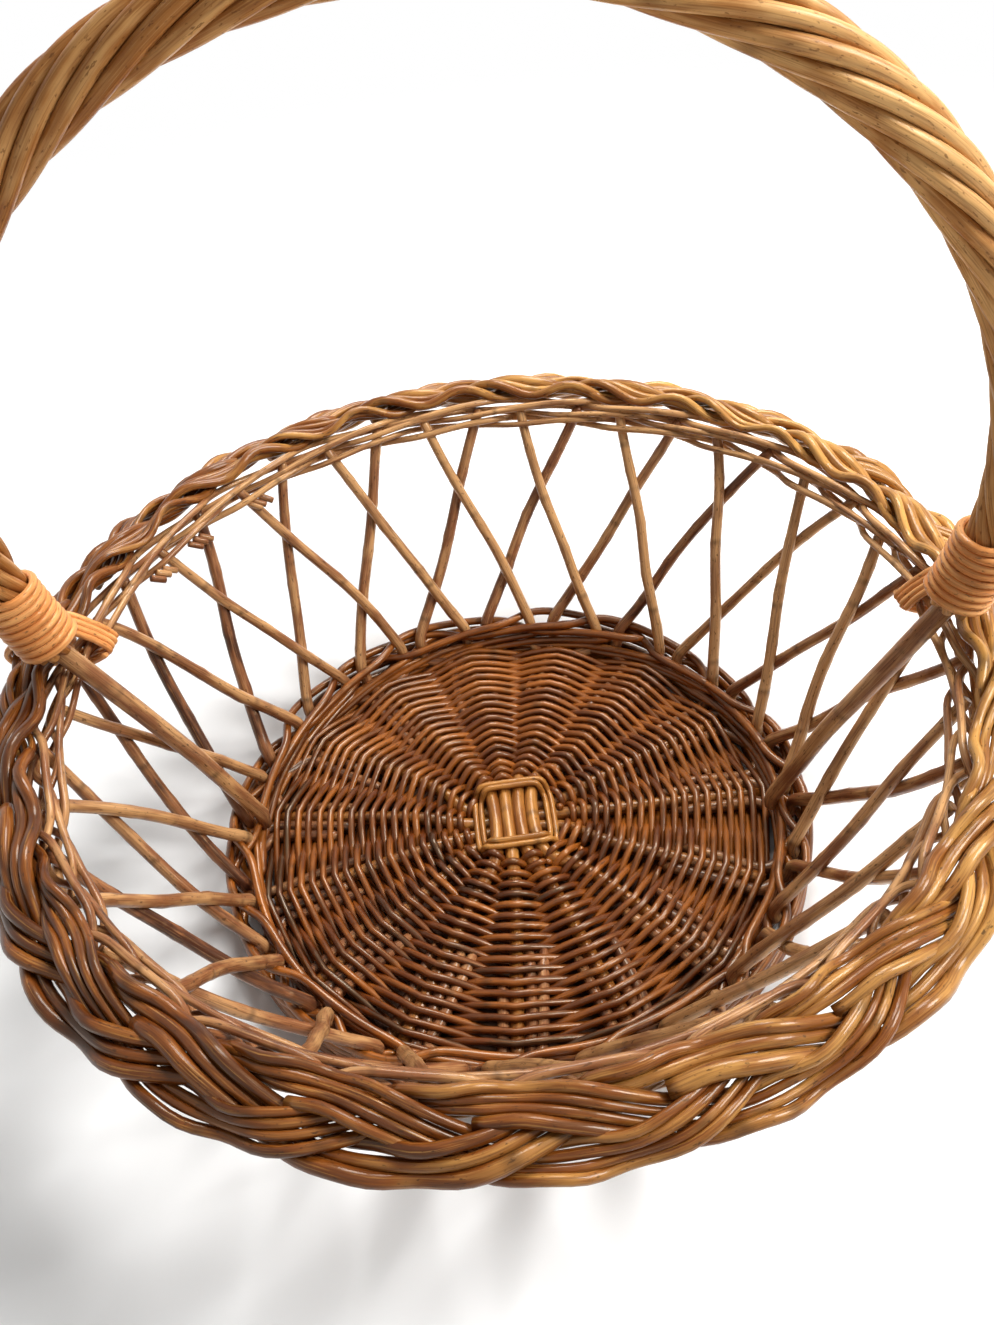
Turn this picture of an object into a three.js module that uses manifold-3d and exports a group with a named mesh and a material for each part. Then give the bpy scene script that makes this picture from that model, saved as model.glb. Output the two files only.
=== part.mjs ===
// A round willow basket with an open lattice wall, a plaited border and a fixed arch handle.
// Lengths are in millimetres and +Z is up. The origin is the middle of the base, on the floor.
// The handle's arch stands in the XZ plane.

import * as THREE from "three";
import { mergeVertices } from "three/addons/utils/BufferGeometryUtils.js";
import Module from "manifold-3d";

// Gap between pieces that touch
const CLEARANCE = 0.3;

// Base
const BASE_RADIUS = 109;
const BASE_CROWN = 4;
const BASE_STICK_DIAMETER = 7;
const BASE_WEAVER_DIAMETER = 3;
const BASE_FLOOR_GAP = 1;
const SLATH_BINDING_DIAMETER = 3.4;

// Wall
const STAKE_DIAMETER = 4.6;
const WALE_HEIGHT = 23;
const WALE_ROD_DIAMETER = 3.8;
const WALE_SKIN = 1.9;
const WALL_HEIGHT = 112.5;
const FITCH_HEIGHT = 8;
const FITCH_SKIN = 2.3;

// Plaited border
const BORDER_RADIUS = 178;
const BORDER_SWING = 9.6;
const BORDER_LIFT = 2.4;
const STRAND_WIDTH = 12;
const STRAND_THICKNESS = 3.4;

// Handle
const HANDLE_HALF_SPAN = 171;
const HANDLE_HEIGHT = 350;
const BOW_DIAMETER = 8;
const ROPE_DIAMETER = 18;
const COLLAR_ROD_DIAMETER = 2.9;
const COLLAR_TURN_GAP = 0.8;
const TIE_ROD_DIAMETER = 2.6;
const TIE_TURN_GAP = 0.6;

// Counts
const STICKS_EACH_WAY = 4;
const STAKE_PAIRS = 22;
const STRANDS = 3;
const PLAIT_WAVES = 7;
const WALE_ROWS = 3;
const FITCH_ROWS = 2;
const BASE_RIDGES = 6;
const COLLAR_TURNS = 9;
const TIE_TURNS = 4;

// Angles in degrees
const SLATH_TURN = 6.9;
const STICK_STEP = 24;
const RIGHT_STAKE_START = 4.8;
const PAIR_SPREAD = 5.5;
const RIGHT_LEAN = 17;
const LEFT_LEAN = -20;
const PLAIT_TURN = -8;
const BORDER_TILT = 27;
const STRAND_BANK = 31;
const TIE_TURN = -7.9;
const RIGHT_TIE_TURN = 8.7;
const LEG_TILT = 20;

// Shares of the sizes that they follow
const LEG_SHARE = 0.217;
const LEG_EASE_SHARE = 0.33;
const FLARE_START_SHARE = 0.87;
const STICK_PITCH_SHARE = 0.8;
const WEAVE_COVER_SHARE = 0.67;
const FAN_SHARE = 0.37;
const RIDGE_DEPTH_SHARE = 0.35;
const ROW_DEPTH_SHARE = 0.3;
const STAKE_FOOT_SHARE = 0.15;
const SWING_THIRD_SHARE = 0.08;
const LIFT_FOURTH_SHARE = 0.57;
const BANK_FIRST_SHARE = 0.15;
const BANK_FIFTH_SHARE = 0.3;
const TIE_OUTLINE_SHARES = [
  [0.0, 0.0],
  [0.0, 0.25],
  [0.0, 0.5],
  [0.0, 0.75],
  [0.15, 1.0],
  [0.5, 1.0],
  [0.8, 1.0],
  [1.0, 0.8],
  [1.0, 0.55],
  [0.85, 0.36],
  [0.58, 0.24],
  [0.52, 0.0],
];

// Facet counts
const BASE_SEGMENTS = 30;
const RING_SEGMENTS = 44;
const STAKE_STEPS = 4;
const STRAND_STEPS = 105;
const ARCH_STEPS = 24;
const ROPE_SIDES = 8;
const ROD_SIDES = 6;
const HOLE_SIDES = 4;
const TURN_STEPS = 10;
const TURN_SIDES = 5;

const wasm = await Module();
wasm.setup();

const radians = THREE.MathUtils.degToRad;
const FULL_TURN = 360;
const QUARTER_TURN = FULL_TURN / 4;
const UP = new THREE.Vector3(0, 0, 1);
const ACROSS_HANDLE = new THREE.Vector3(0, 1, 0);

function polar(radius, angle, height) {
  return new THREE.Vector3(radius * Math.cos(angle), radius * Math.sin(angle), height);
}

// Solids from rings of points

function signedVolume(geometry) {
  const place = geometry.getAttribute("position");
  const index = geometry.getIndex();
  const [a, b, c] = [new THREE.Vector3(), new THREE.Vector3(), new THREE.Vector3()];
  let volume = 0;
  for (let i = 0; i < index.count; i += 3) {
    a.fromBufferAttribute(place, index.getX(i));
    b.fromBufferAttribute(place, index.getX(i + 1));
    c.fromBufferAttribute(place, index.getX(i + 2));
    volume += a.dot(b.cross(c));
  }
  return volume;
}

function turnedOutward(geometry) {
  if (signedVolume(geometry) < 0) {
    geometry.getIndex().array.reverse();
  }
  geometry.computeVertexNormals();
  return geometry;
}

function solidFromRings(rings, closed) {
  const sides = rings[0].length;
  const places = rings.flat().flatMap((point) => point.toArray());
  const faces = [];
  const lastStep = closed ? rings.length : rings.length - 1;
  for (let i = 0; i < lastStep; i++) {
    const here = i * sides;
    const next = ((i + 1) % rings.length) * sides;
    for (let j = 0; j < sides; j++) {
      const k = (j + 1) % sides;
      faces.push(here + j, here + k, next + k);
      faces.push(here + j, next + k, next + j);
    }
  }
  if (!closed) {
    const end = (rings.length - 1) * sides;
    for (let j = 1; j < sides - 1; j++) {
      faces.push(0, j + 1, j);
      faces.push(end, end + j, end + j + 1);
    }
  }
  const geometry = new THREE.BufferGeometry();
  geometry.setAttribute("position", new THREE.Float32BufferAttribute(places, 3));
  geometry.setIndex(faces);
  return turnedOutward(geometry);
}

function tangentAt(points, i, closed) {
  const count = points.length;
  const before = closed ? points[(i + count - 1) % count] : points[Math.max(i - 1, 0)];
  const after = closed ? points[(i + 1) % count] : points[Math.min(i + 1, count - 1)];
  return after.clone().sub(before).normalize();
}

// A rod of even thickness along a list of points. The reference gives a direction to start its
// sides from at each point.
function rodRings(points, radius, sides, reference, closed) {
  return points.map((point, i) => {
    const along = tangentAt(points, i, closed);
    const out = reference(i).clone();
    out.addScaledVector(along, -out.dot(along)).normalize();
    const side = along.clone().cross(out);
    const ring = [];
    for (let j = 0; j < sides; j++) {
      const turn = (2 * Math.PI * j) / sides;
      ring.push(
        point
          .clone()
          .addScaledVector(out, radius * Math.cos(turn))
          .addScaledVector(side, radius * Math.sin(turn)),
      );
    }
    return ring;
  });
}

function rod(points, diameter, sides, reference, closed = false) {
  return solidFromRings(rodRings(points, diameter / 2, sides, reference, closed), closed);
}

// Joining and cutting

function toSolid(geometry) {
  const bare = geometry.clone();
  bare.deleteAttribute("normal");
  bare.deleteAttribute("uv");
  const merged = mergeVertices(bare);
  const mesh = new wasm.Mesh({
    numProp: 3,
    vertProperties: new Float32Array(merged.getAttribute("position").array),
    triVerts: new Uint32Array(merged.getIndex().array),
  });
  return new wasm.Manifold(mesh);
}

function toGeometry(solid) {
  const mesh = solid.getMesh();
  const geometry = new THREE.BufferGeometry();
  geometry.setAttribute("position", new THREE.BufferAttribute(mesh.vertProperties, 3));
  geometry.setIndex(new THREE.BufferAttribute(mesh.triVerts, 1));
  geometry.computeVertexNormals();
  return geometry;
}

function cut(geometry, tools) {
  let solid = toSolid(geometry);
  for (const tool of tools) {
    solid = solid.subtract(toSolid(tool));
  }
  return toGeometry(solid);
}

function joined(geometries) {
  const [first, ...rest] = geometries.map(toSolid);
  return toGeometry(rest.reduce((whole, part) => whole.add(part), first));
}

// Base: eight sticks crossed in the middle, opened out like spokes and woven round

const STICK_RADIUS = BASE_STICK_DIAMETER / 2;
const WEAVE_HALF_THICKNESS = STICK_RADIUS + WEAVE_COVER_SHARE * BASE_WEAVER_DIAMETER;
const STICK_PITCH = STICK_PITCH_SHARE * BASE_STICK_DIAMETER;
const STICK_PACK_HALF = ((STICKS_EACH_WAY - 1) * STICK_PITCH) / 2 + STICK_RADIUS;
const BINDING_HALF = STICK_PACK_HALF + CLEARANCE + SLATH_BINDING_DIAMETER / 2;
const SLATH_HALF = BINDING_HALF + SLATH_BINDING_DIAMETER / 2;
const FAN_RADIUS = FAN_SHARE * BASE_RADIUS;
const STICK_REACH = BASE_RADIUS - STICK_RADIUS;

function baseMiddleHeight(radius) {
  const bow = 1 - (radius / BASE_RADIUS) ** 2;
  return BASE_FLOOR_GAP + WEAVE_HALF_THICKNESS + BASE_CROWN * bow;
}

// One end of a base stick, from the edge of the crossing to the rim of the base. Angles are
// measured from the slath's own axis.
function stickEnd(offset, side, angle, rise) {
  const edge = new THREE.Vector3(side * SLATH_HALF, offset, baseMiddleHeight(SLATH_HALF) + rise);
  const turn = radians(angle) + (side > 0 ? 0 : Math.PI);
  const fan = polar(FAN_RADIUS, turn, baseMiddleHeight(FAN_RADIUS));
  const tip = polar(STICK_REACH, turn, baseMiddleHeight(STICK_REACH));
  return [edge, fan, tip];
}

// Four sticks side by side. An end angle of null stops the stick at the edge of the crossing.
function crossedSticks(turn, rise, nearAngles, farAngles, extra) {
  const sticks = [];
  for (let i = 0; i < STICKS_EACH_WAY; i++) {
    const offset = (i - (STICKS_EACH_WAY - 1) / 2) * STICK_PITCH;
    const near = stickEnd(offset, -1, nearAngles[i], rise);
    const far = stickEnd(offset, 1, farAngles[i] ?? 0, rise);
    const points = [...near.reverse(), ...(farAngles[i] === null ? far.slice(0, 1) : far)];
    const geometry = rod(points, BASE_STICK_DIAMETER + extra, ROD_SIDES, () => UP);
    sticks.push(geometry.rotateZ(radians(turn)));
  }
  return sticks;
}

function fannedAngles(count, sign) {
  const angles = [];
  for (let i = 0; i < count; i++) {
    angles.push(sign * (i - (count - 1) / 2) * STICK_STEP);
  }
  return angles;
}

const STICK_RISE = STICK_RADIUS + CLEARANCE / 2;
const FULL_FAN = fannedAngles(STICKS_EACH_WAY, 1);
const SHORT_FAN = [null, ...fannedAngles(STICKS_EACH_WAY - 1, 1)];
const LONG_STICK_SIDE_TURN = STICK_STEP / 4;

// The fifteen spokes are evenly spaced, so each fan of four is turned a little from square.
function turnedFan(angles, turn) {
  return angles.map((angle) => (angle === null ? null : angle + turn));
}

function longSticks(extra) {
  const near = turnedFan(fannedAngles(STICKS_EACH_WAY, -1), LONG_STICK_SIDE_TURN);
  const far = turnedFan(FULL_FAN, -LONG_STICK_SIDE_TURN);
  return crossedSticks(SLATH_TURN + QUARTER_TURN, STICK_RISE, near, far, extra);
}

function crossSticks(extra) {
  const near = fannedAngles(STICKS_EACH_WAY, -1);
  return crossedSticks(SLATH_TURN, -STICK_RISE, near, SHORT_FAN, extra);
}

function baseWeave() {
  const profile = [new THREE.Vector2(0, baseMiddleHeight(0) - WEAVE_HALF_THICKNESS)];
  const ridge = (BASE_RADIUS - SLATH_HALF) / BASE_RIDGES;
  const dip = RIDGE_DEPTH_SHARE * BASE_WEAVER_DIAMETER;
  const edgeMiddle = baseMiddleHeight(BASE_RADIUS);
  profile.push(new THREE.Vector2(BASE_RADIUS - dip, edgeMiddle - WEAVE_HALF_THICKNESS));
  profile.push(new THREE.Vector2(BASE_RADIUS, edgeMiddle));
  for (let i = 0; i < BASE_RIDGES; i++) {
    const crest = BASE_RADIUS - dip - ridge * i;
    const valley = crest - ridge / 2;
    profile.push(new THREE.Vector2(crest, baseMiddleHeight(crest) + WEAVE_HALF_THICKNESS));
    profile.push(new THREE.Vector2(valley, baseMiddleHeight(valley) + WEAVE_HALF_THICKNESS - dip));
  }
  profile.push(new THREE.Vector2(0, baseMiddleHeight(0) + WEAVE_HALF_THICKNESS));
  const disc = new THREE.LatheGeometry(profile, BASE_SEGMENTS).rotateX(Math.PI / 2);
  const opening = 2 * (SLATH_HALF + CLEARANCE);
  const hole = new THREE.BoxGeometry(opening, opening, BASE_RADIUS);
  hole.rotateZ(radians(SLATH_TURN));
  return cut(turnedOutward(disc), [hole, ...longSticks(2 * CLEARANCE), ...crossSticks(2 * CLEARANCE)]);
}

// The rod that binds the crossing rides high over the long sticks and low beside them.
function slathBinding() {
  const rest = STICK_RADIUS + SLATH_BINDING_DIAMETER / 2 + CLEARANCE;
  const low = baseMiddleHeight(0) - STICK_RISE + rest;
  const high = baseMiddleHeight(0) + STICK_RISE + rest;
  const side = STICK_PACK_HALF - STICK_RADIUS;
  const points = [];
  for (let quarter = 0; quarter < 4; quarter++) {
    const over = quarter % 2 === 0 ? low : high;
    const places = [
      new THREE.Vector3(BINDING_HALF, -side, over),
      new THREE.Vector3(BINDING_HALF, side, over),
      new THREE.Vector3(BINDING_HALF, BINDING_HALF, (low + high) / 2),
    ];
    for (const place of places) {
      points.push(place.applyAxisAngle(UP, radians(SLATH_TURN) + (quarter * Math.PI) / 2));
    }
  }
  return rod(points, SLATH_BINDING_DIAMETER, ROD_SIDES, () => UP, true);
}

// Wall: the line that the stakes follow, upright in the wale and flared above it

// The border leans down outward on the wall's top, which carries the inside of its plait.
const FLARE_START = FLARE_START_SHARE * WALE_HEIGHT;
const BORDER_LEAN = radians(BORDER_TILT);
const BORDER_HALF_HEIGHT = strandReach();
const BORDER_SEAT = CLEARANCE + BORDER_HALF_HEIGHT;
const WALL_TOP_RADIUS = BORDER_RADIUS - alongAndUp(BORDER_SWING, BORDER_SEAT).out;
const BORDER_MIDDLE = WALL_HEIGHT - alongAndUp(-BORDER_SWING, -BORDER_SEAT).up;
const WALL_RUN = WALL_TOP_RADIUS - BASE_RADIUS;
const WALL_SLOPE = Math.atan2(WALL_RUN, WALL_HEIGHT);
const STAKE_OFFSET = (STAKE_DIAMETER + CLEARANCE) / 2 / Math.cos(WALL_SLOPE);
const STAKE_PACK = STAKE_OFFSET + STAKE_DIAMETER / 2;
const WALE_HALF = STAKE_PACK + WALE_SKIN;
const WALE_RADIUS = BASE_RADIUS + CLEARANCE + WALE_HALF;
const FITCH_HALF = STAKE_PACK + FITCH_SKIN;
const FITCH_BOTTOM = WALL_HEIGHT - FITCH_HEIGHT;
const FLARE = (WALL_TOP_RADIUS - WALE_RADIUS) / (WALL_HEIGHT - FLARE_START);

function wallRadius(height) {
  return WALE_RADIUS + FLARE * Math.max(height - FLARE_START, 0);
}

const STAKE_FORM = { diameter: STAKE_DIAMETER, sides: ROD_SIDES, overrun: 0 };
const HOLE_FORM = {
  diameter: (STAKE_DIAMETER + 2 * CLEARANCE) / Math.cos(Math.PI / HOLE_SIDES),
  sides: HOLE_SIDES,
  overrun: 2 * CLEARANCE,
};

// A stake leans along the wall by the given angle between the wale's top and the fitch's top.
function stake(form, foot, lean, offset) {
  const bottom = STAKE_FOOT_SHARE * WALE_HEIGHT - form.overrun;
  const top = WALL_HEIGHT - STAKE_PACK * Math.tan(BORDER_LEAN) - CLEARANCE + form.overrun;
  const heights = [bottom, FLARE_START];
  for (let i = 1; i <= STAKE_STEPS; i++) {
    heights.push(FLARE_START + ((top - FLARE_START) * i) / STAKE_STEPS);
  }
  const points = heights.map((height) => {
    const rise = Math.max(height - FLARE_START, 0) / (WALL_HEIGHT - FLARE_START);
    return polar(wallRadius(height) + offset, radians(foot + lean * rise), height);
  });
  const corner = (i) => points[i].clone().setZ(0).applyAxisAngle(UP, Math.PI / form.sides);
  return rod(points, form.diameter, form.sides, corner);
}

// The right-leaning stakes lie inside and the left-leaning ones outside.
function stakes(form) {
  const pairs = [];
  for (let i = 0; i < STAKE_PAIRS; i++) {
    const foot = RIGHT_STAKE_START + (FULL_TURN * i) / STAKE_PAIRS;
    pairs.push({
      right: stake(form, foot, RIGHT_LEAN, -STAKE_OFFSET),
      left: stake(form, foot - PAIR_SPREAD, LEFT_LEAN, STAKE_OFFSET),
    });
  }
  return pairs;
}

// A woven ring with a bulge for each row of rods. Its rows lie level or lean down outward.
function wovenRing(bottom, top, rows, half, bulge, lean) {
  const rise = Math.max((bottom + top) / 2 - FLARE_START, 0) / (WALL_HEIGHT - FLARE_START);
  const seam = RIGHT_STAKE_START + (RIGHT_LEAN * rise + LEFT_LEAN * rise - PAIR_SPREAD) / 2;
  const outer = [];
  const inner = [];
  const pitch = (top - bottom) / rows;
  for (let i = 0; i <= 2 * rows; i++) {
    const height = bottom + (pitch * i) / 2;
    const reach = i % 2 === 1 ? half : half - bulge;
    const out = reach * Math.cos(lean);
    const down = reach * Math.sin(lean);
    outer.push(new THREE.Vector2(wallRadius(height) + out, height - down));
    inner.push(new THREE.Vector2(wallRadius(height) - out, height + down));
  }
  const profile = [...outer, ...inner.reverse()];
  profile.push(profile[0].clone());
  const ring = new THREE.LatheGeometry(profile, RING_SEGMENTS, radians(seam + QUARTER_TURN));
  return turnedOutward(ring.rotateX(Math.PI / 2));
}

function stakeHoles() {
  return stakes(HOLE_FORM).flatMap((pair) => [pair.right, pair.left]);
}

function bottomWale() {
  const bulge = ROW_DEPTH_SHARE * WALE_ROD_DIAMETER;
  return cut(wovenRing(0, WALE_HEIGHT, WALE_ROWS, WALE_HALF, bulge, 0), stakeHoles());
}

function topFitch() {
  const bulge = ROW_DEPTH_SHARE * FITCH_SKIN;
  const ring = wovenRing(FITCH_BOTTOM, WALL_HEIGHT, FITCH_ROWS, FITCH_HALF, bulge, BORDER_LEAN);
  return cut(ring, stakeHoles());
}

// Border: three flat strands plaited round the rim

function strandShape(phase) {
  const banking =
    Math.cos(3 * phase) - BANK_FIRST_SHARE * Math.cos(phase) - BANK_FIFTH_SHARE * Math.cos(5 * phase);
  return {
    swing: BORDER_SWING * (Math.sin(phase) + SWING_THIRD_SHARE * Math.sin(3 * phase)),
    lift: -BORDER_LIFT * (Math.sin(2 * phase) + LIFT_FOURTH_SHARE * Math.sin(4 * phase)),
    bank: -radians(STRAND_BANK) * banking,
  };
}

// The six corners of a strand's section, as distances across and up
function strandOutline() {
  const half = STRAND_WIDTH / 2;
  const thick = STRAND_THICKNESS / 2;
  return [
    [half, 0],
    [half - thick, thick],
    [thick - half, thick],
    [-half, 0],
    [thick - half, -thick],
    [half - thick, -thick],
  ];
}

// Corners of the strands all along the plait, as distances across and up from its middle
function plaitCorners() {
  const corners = [];
  for (let i = 0; i < STRAND_STEPS; i++) {
    const { swing, lift, bank } = strandShape((2 * Math.PI * i) / STRAND_STEPS);
    for (const [across, up] of strandOutline()) {
      corners.push([
        swing + across * Math.cos(bank) - up * Math.sin(bank),
        lift + across * Math.sin(bank) + up * Math.cos(bank),
      ]);
    }
  }
  return corners;
}

// How far the strands reach above and below the border's middle
function strandReach() {
  return Math.max(...plaitCorners().map(([, up]) => up));
}

// Distances across and up in the leaning border, as distances out and up in the basket
function alongAndUp(across, up) {
  const [cos, sin] = [Math.cos(BORDER_LEAN), Math.sin(BORDER_LEAN)];
  return { out: across * cos + up * sin, up: up * cos - across * sin };
}

function borderPoint(across, angle, up) {
  const place = alongAndUp(across, up);
  return polar(BORDER_RADIUS + place.out, angle, BORDER_MIDDLE + place.up);
}

function leaned(point) {
  const radius = Math.hypot(point.x, point.y);
  return borderPoint(radius - BORDER_RADIUS, Math.atan2(point.y, point.x), point.z);
}

const BORDER_TOP = BORDER_MIDDLE + Math.max(...plaitCorners().map((corner) => alongAndUp(...corner).up));
const BORDER_REACH = BORDER_SWING * (1 - SWING_THIRD_SHARE) + STRAND_WIDTH / 2;

function strandCentre(angle, strand) {
  const phase = PLAIT_WAVES * angle + (2 * Math.PI * strand) / STRANDS;
  const shape = strandShape(phase);
  const point = polar(BORDER_RADIUS + shape.swing, angle, shape.lift);
  return { point, bank: shape.bank };
}

function plaitStrand(strand) {
  const outline = strandOutline();
  const places = [];
  for (let i = 0; i < STRAND_STEPS; i++) {
    places.push(strandCentre((2 * Math.PI * i) / STRAND_STEPS, strand));
  }
  const points = places.map((place) => place.point);
  const rings = places.map(({ point, bank }, i) => {
    const along = tangentAt(points, i, true).setZ(0).normalize();
    const across = along.clone().cross(UP).applyAxisAngle(along, -bank);
    const normal = across.clone().cross(along).negate();
    const corner = (u, v) => point.clone().addScaledVector(across, u).addScaledVector(normal, v);
    return outline.map(([u, v]) => leaned(corner(u, v)));
  });
  return solidFromRings(rings, true).rotateZ(radians(PLAIT_TURN));
}

// Handle: a bow inside a rope of rods. The bow runs on down the inside of the wall.

const BOW_RADIUS = BOW_DIAMETER / 2;
const ROPE_RADIUS = ROPE_DIAMETER / 2;
const FLARE_ANGLE = Math.atan(FLARE);
const BOW_INSET = (FITCH_HALF + CLEARANCE + BOW_RADIUS) / Math.cos(FLARE_ANGLE);
const ROPE_FOOT = BORDER_TOP + CLEARANCE + ROPE_RADIUS * Math.sin(radians(LEG_TILT));
const ARCH_TOP = HANDLE_HEIGHT - ROPE_RADIUS;
const ARCH_START = ROPE_FOOT + LEG_SHARE * (ARCH_TOP - ROPE_FOOT);

function bowWallPoint(height) {
  return new THREE.Vector3(wallRadius(height) - BOW_INSET, 0, height);
}

// The right half of the rope's middle line, from its foot up to the top of the arch
function ropeHalfLine() {
  const foot = bowWallPoint(ROPE_FOOT);
  const spring = new THREE.Vector3(HANDLE_HALF_SPAN, 0, ARCH_START);
  const reach = LEG_EASE_SHARE * foot.distanceTo(spring);
  const tilted = UP.clone().applyAxisAngle(ACROSS_HANDLE, radians(LEG_TILT));
  const lower = foot.clone().addScaledVector(tilted, reach);
  const upper = spring.clone().addScaledVector(UP, -reach);
  const leg = new THREE.CubicBezierCurve3(foot, lower, upper, spring);
  const steps = ARCH_STEPS / 2;
  const legSteps = Math.round(steps / 3);
  const points = leg.getPoints(legSteps);
  for (let i = 1; i <= steps; i++) {
    const turn = (Math.PI / 2) * (i / steps);
    const rise = (ARCH_TOP - ARCH_START) * Math.sin(turn);
    points.push(new THREE.Vector3(HANDLE_HALF_SPAN * Math.cos(turn), 0, ARCH_START + rise));
  }
  return points;
}

function mirroredLine(points) {
  const mirror = new THREE.Vector3(-1, 1, 1);
  const left = points.slice(0, -1).map((point) => point.clone().multiply(mirror));
  return [...points, ...left.reverse()];
}

function bowFootHeight() {
  const radius = WALE_RADIUS - BOW_INSET;
  return baseMiddleHeight(radius) + WEAVE_HALF_THICKNESS + CLEARANCE;
}

function handleBow(extra) {
  const lower = [bowFootHeight(), FLARE_START, FITCH_BOTTOM].map(bowWallPoint);
  const line = mirroredLine([...lower, ...ropeHalfLine()]);
  return rod(line, BOW_DIAMETER + extra, ROD_SIDES, () => ACROSS_HANDLE);
}

function handleRope() {
  const solid = rod(mirroredLine(ropeHalfLine()), ROPE_DIAMETER, ROPE_SIDES, () => ACROSS_HANDLE);
  return cut(solid, [handleBow(2 * CLEARANCE)]);
}

// Windings: each is one unbroken rod

function leastGap(points, perTurn, diameter) {
  let least = Infinity;
  for (let i = 0; i < points.length; i++) {
    for (let j = i + Math.round(perTurn / 2); j < points.length; j++) {
      least = Math.min(least, points[i].distanceTo(points[j]) - diameter);
    }
  }
  return least;
}

function printGap(name, points, perTurn, diameter) {
  const gap = leastGap(points, perTurn, diameter);
  console.log(`${name}: least gap between turns ${gap.toFixed(2)} mm`);
}

function collar(name) {
  const line = new THREE.CatmullRomCurve3(ropeHalfLine());
  const length = line.getLength();
  const pitch = COLLAR_ROD_DIAMETER + COLLAR_TURN_GAP;
  const radius = ROPE_RADIUS + CLEARANCE + COLLAR_ROD_DIAMETER / 2;
  const start = COLLAR_ROD_DIAMETER;
  const points = [];
  const outward = [];
  for (let i = 0; i <= COLLAR_TURNS * TURN_STEPS; i++) {
    const share = (start + (pitch * i) / TURN_STEPS) / length;
    const along = line.getTangentAt(share);
    const side = along.clone().cross(ACROSS_HANDLE);
    const turn = (2 * Math.PI * i) / TURN_STEPS;
    const out = side.multiplyScalar(Math.sin(turn)).addScaledVector(ACROSS_HANDLE, Math.cos(turn));
    outward.push(out);
    points.push(line.getPointAt(share).addScaledVector(out, radius));
  }
  printGap(name, points, TURN_STEPS, COLLAR_ROD_DIAMETER);
  return rod(points, COLLAR_ROD_DIAMETER, TURN_SIDES, (i) => outward[i]);
}

// A tie binds the border to the fitch beside the handle's foot.
function tie(name, turn) {
  const room = TIE_ROD_DIAMETER / 2 + 2 * CLEARANCE;
  const innerEdge = -(BORDER_SWING + FITCH_HALF + room);
  const outerEdge = BORDER_REACH + room;
  const bottom = -(BORDER_SEAT + FITCH_HEIGHT / Math.cos(FLARE_ANGLE) + room);
  const top = BORDER_HALF_HEIGHT + room;
  const pitch = (TIE_ROD_DIAMETER + TIE_TURN_GAP) / borderPoint(innerEdge, 0, bottom).x;
  const perTurn = TIE_OUTLINE_SHARES.length;
  const points = [];
  const steps = TIE_TURNS * perTurn;
  for (let i = 0; i < steps; i++) {
    const [out, up] = TIE_OUTLINE_SHARES[i % perTurn];
    const angle = radians(turn) + pitch * (i / perTurn - TIE_TURNS / 2);
    points.push(borderPoint(innerEdge + out * (outerEdge - innerEdge), angle, bottom + up * (top - bottom)));
  }
  printGap(name, points, perTurn, TIE_ROD_DIAMETER);
  const sideways = polar(1, radians(turn + QUARTER_TURN), 0);
  return rod(points, TIE_ROD_DIAMETER, TURN_SIDES, () => sideways);
}

// Materials: varnished willow in the shades of each piece

function willow(colour, roughness) {
  return new THREE.MeshStandardMaterial({ color: colour, roughness, metalness: 0 });
}

const BASE_WILLOW = willow(0x7a4522, 0.45);
const STAKE_WILLOW = willow(0x8a5630, 0.5);
const BORDER_WILLOW = willow(0xa9733f, 0.4);
const HANDLE_WILLOW = willow(0xa46c38, 0.42);
const COLLAR_WILLOW = willow(0x9c5f33, 0.45);

const basket = new THREE.Group();

function addPiece(name, geometry, material) {
  const mesh = new THREE.Mesh(geometry, material);
  mesh.name = name;
  basket.add(mesh);
  return mesh;
}

function numbered(name, i) {
  return `${name}_${String(i + 1).padStart(2, "0")}`;
}

addPiece("long_base_sticks", joined(longSticks(0)), BASE_WILLOW);
addPiece("cross_base_sticks", joined(crossSticks(0)), BASE_WILLOW);
addPiece("slath_binding", slathBinding(), COLLAR_WILLOW);
addPiece("base_weave", baseWeave(), BASE_WILLOW);
addPiece("bottom_wale", bottomWale(), BASE_WILLOW);
addPiece("top_fitch", topFitch(), STAKE_WILLOW);

stakes(STAKE_FORM).forEach((pair, i) => {
  addPiece(numbered("right_leaning_stake", i), pair.right, STAKE_WILLOW);
  addPiece(numbered("left_leaning_stake", i), pair.left, STAKE_WILLOW);
});

for (let strand = 0; strand < STRANDS; strand++) {
  const notched = cut(plaitStrand(strand), [handleBow(2 * CLEARANCE)]);
  addPiece(`border_strand_${strand + 1}`, notched, BORDER_WILLOW);
}

addPiece("handle_bow", handleBow(0), HANDLE_WILLOW);
addPiece("handle_rope", handleRope(), HANDLE_WILLOW);
addPiece("right_collar", collar("right collar"), COLLAR_WILLOW);
addPiece("left_collar", collar("left collar"), COLLAR_WILLOW).rotation.z = Math.PI;
addPiece("right_tie", tie("right tie", RIGHT_TIE_TURN), COLLAR_WILLOW);
addPiece("left_tie", tie("left tie", TIE_TURN), COLLAR_WILLOW).rotation.z = Math.PI;

export default basket;
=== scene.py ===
import math
import random

import bmesh
import bpy
import numpy as np
from mathutils import Matrix, Vector


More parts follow.
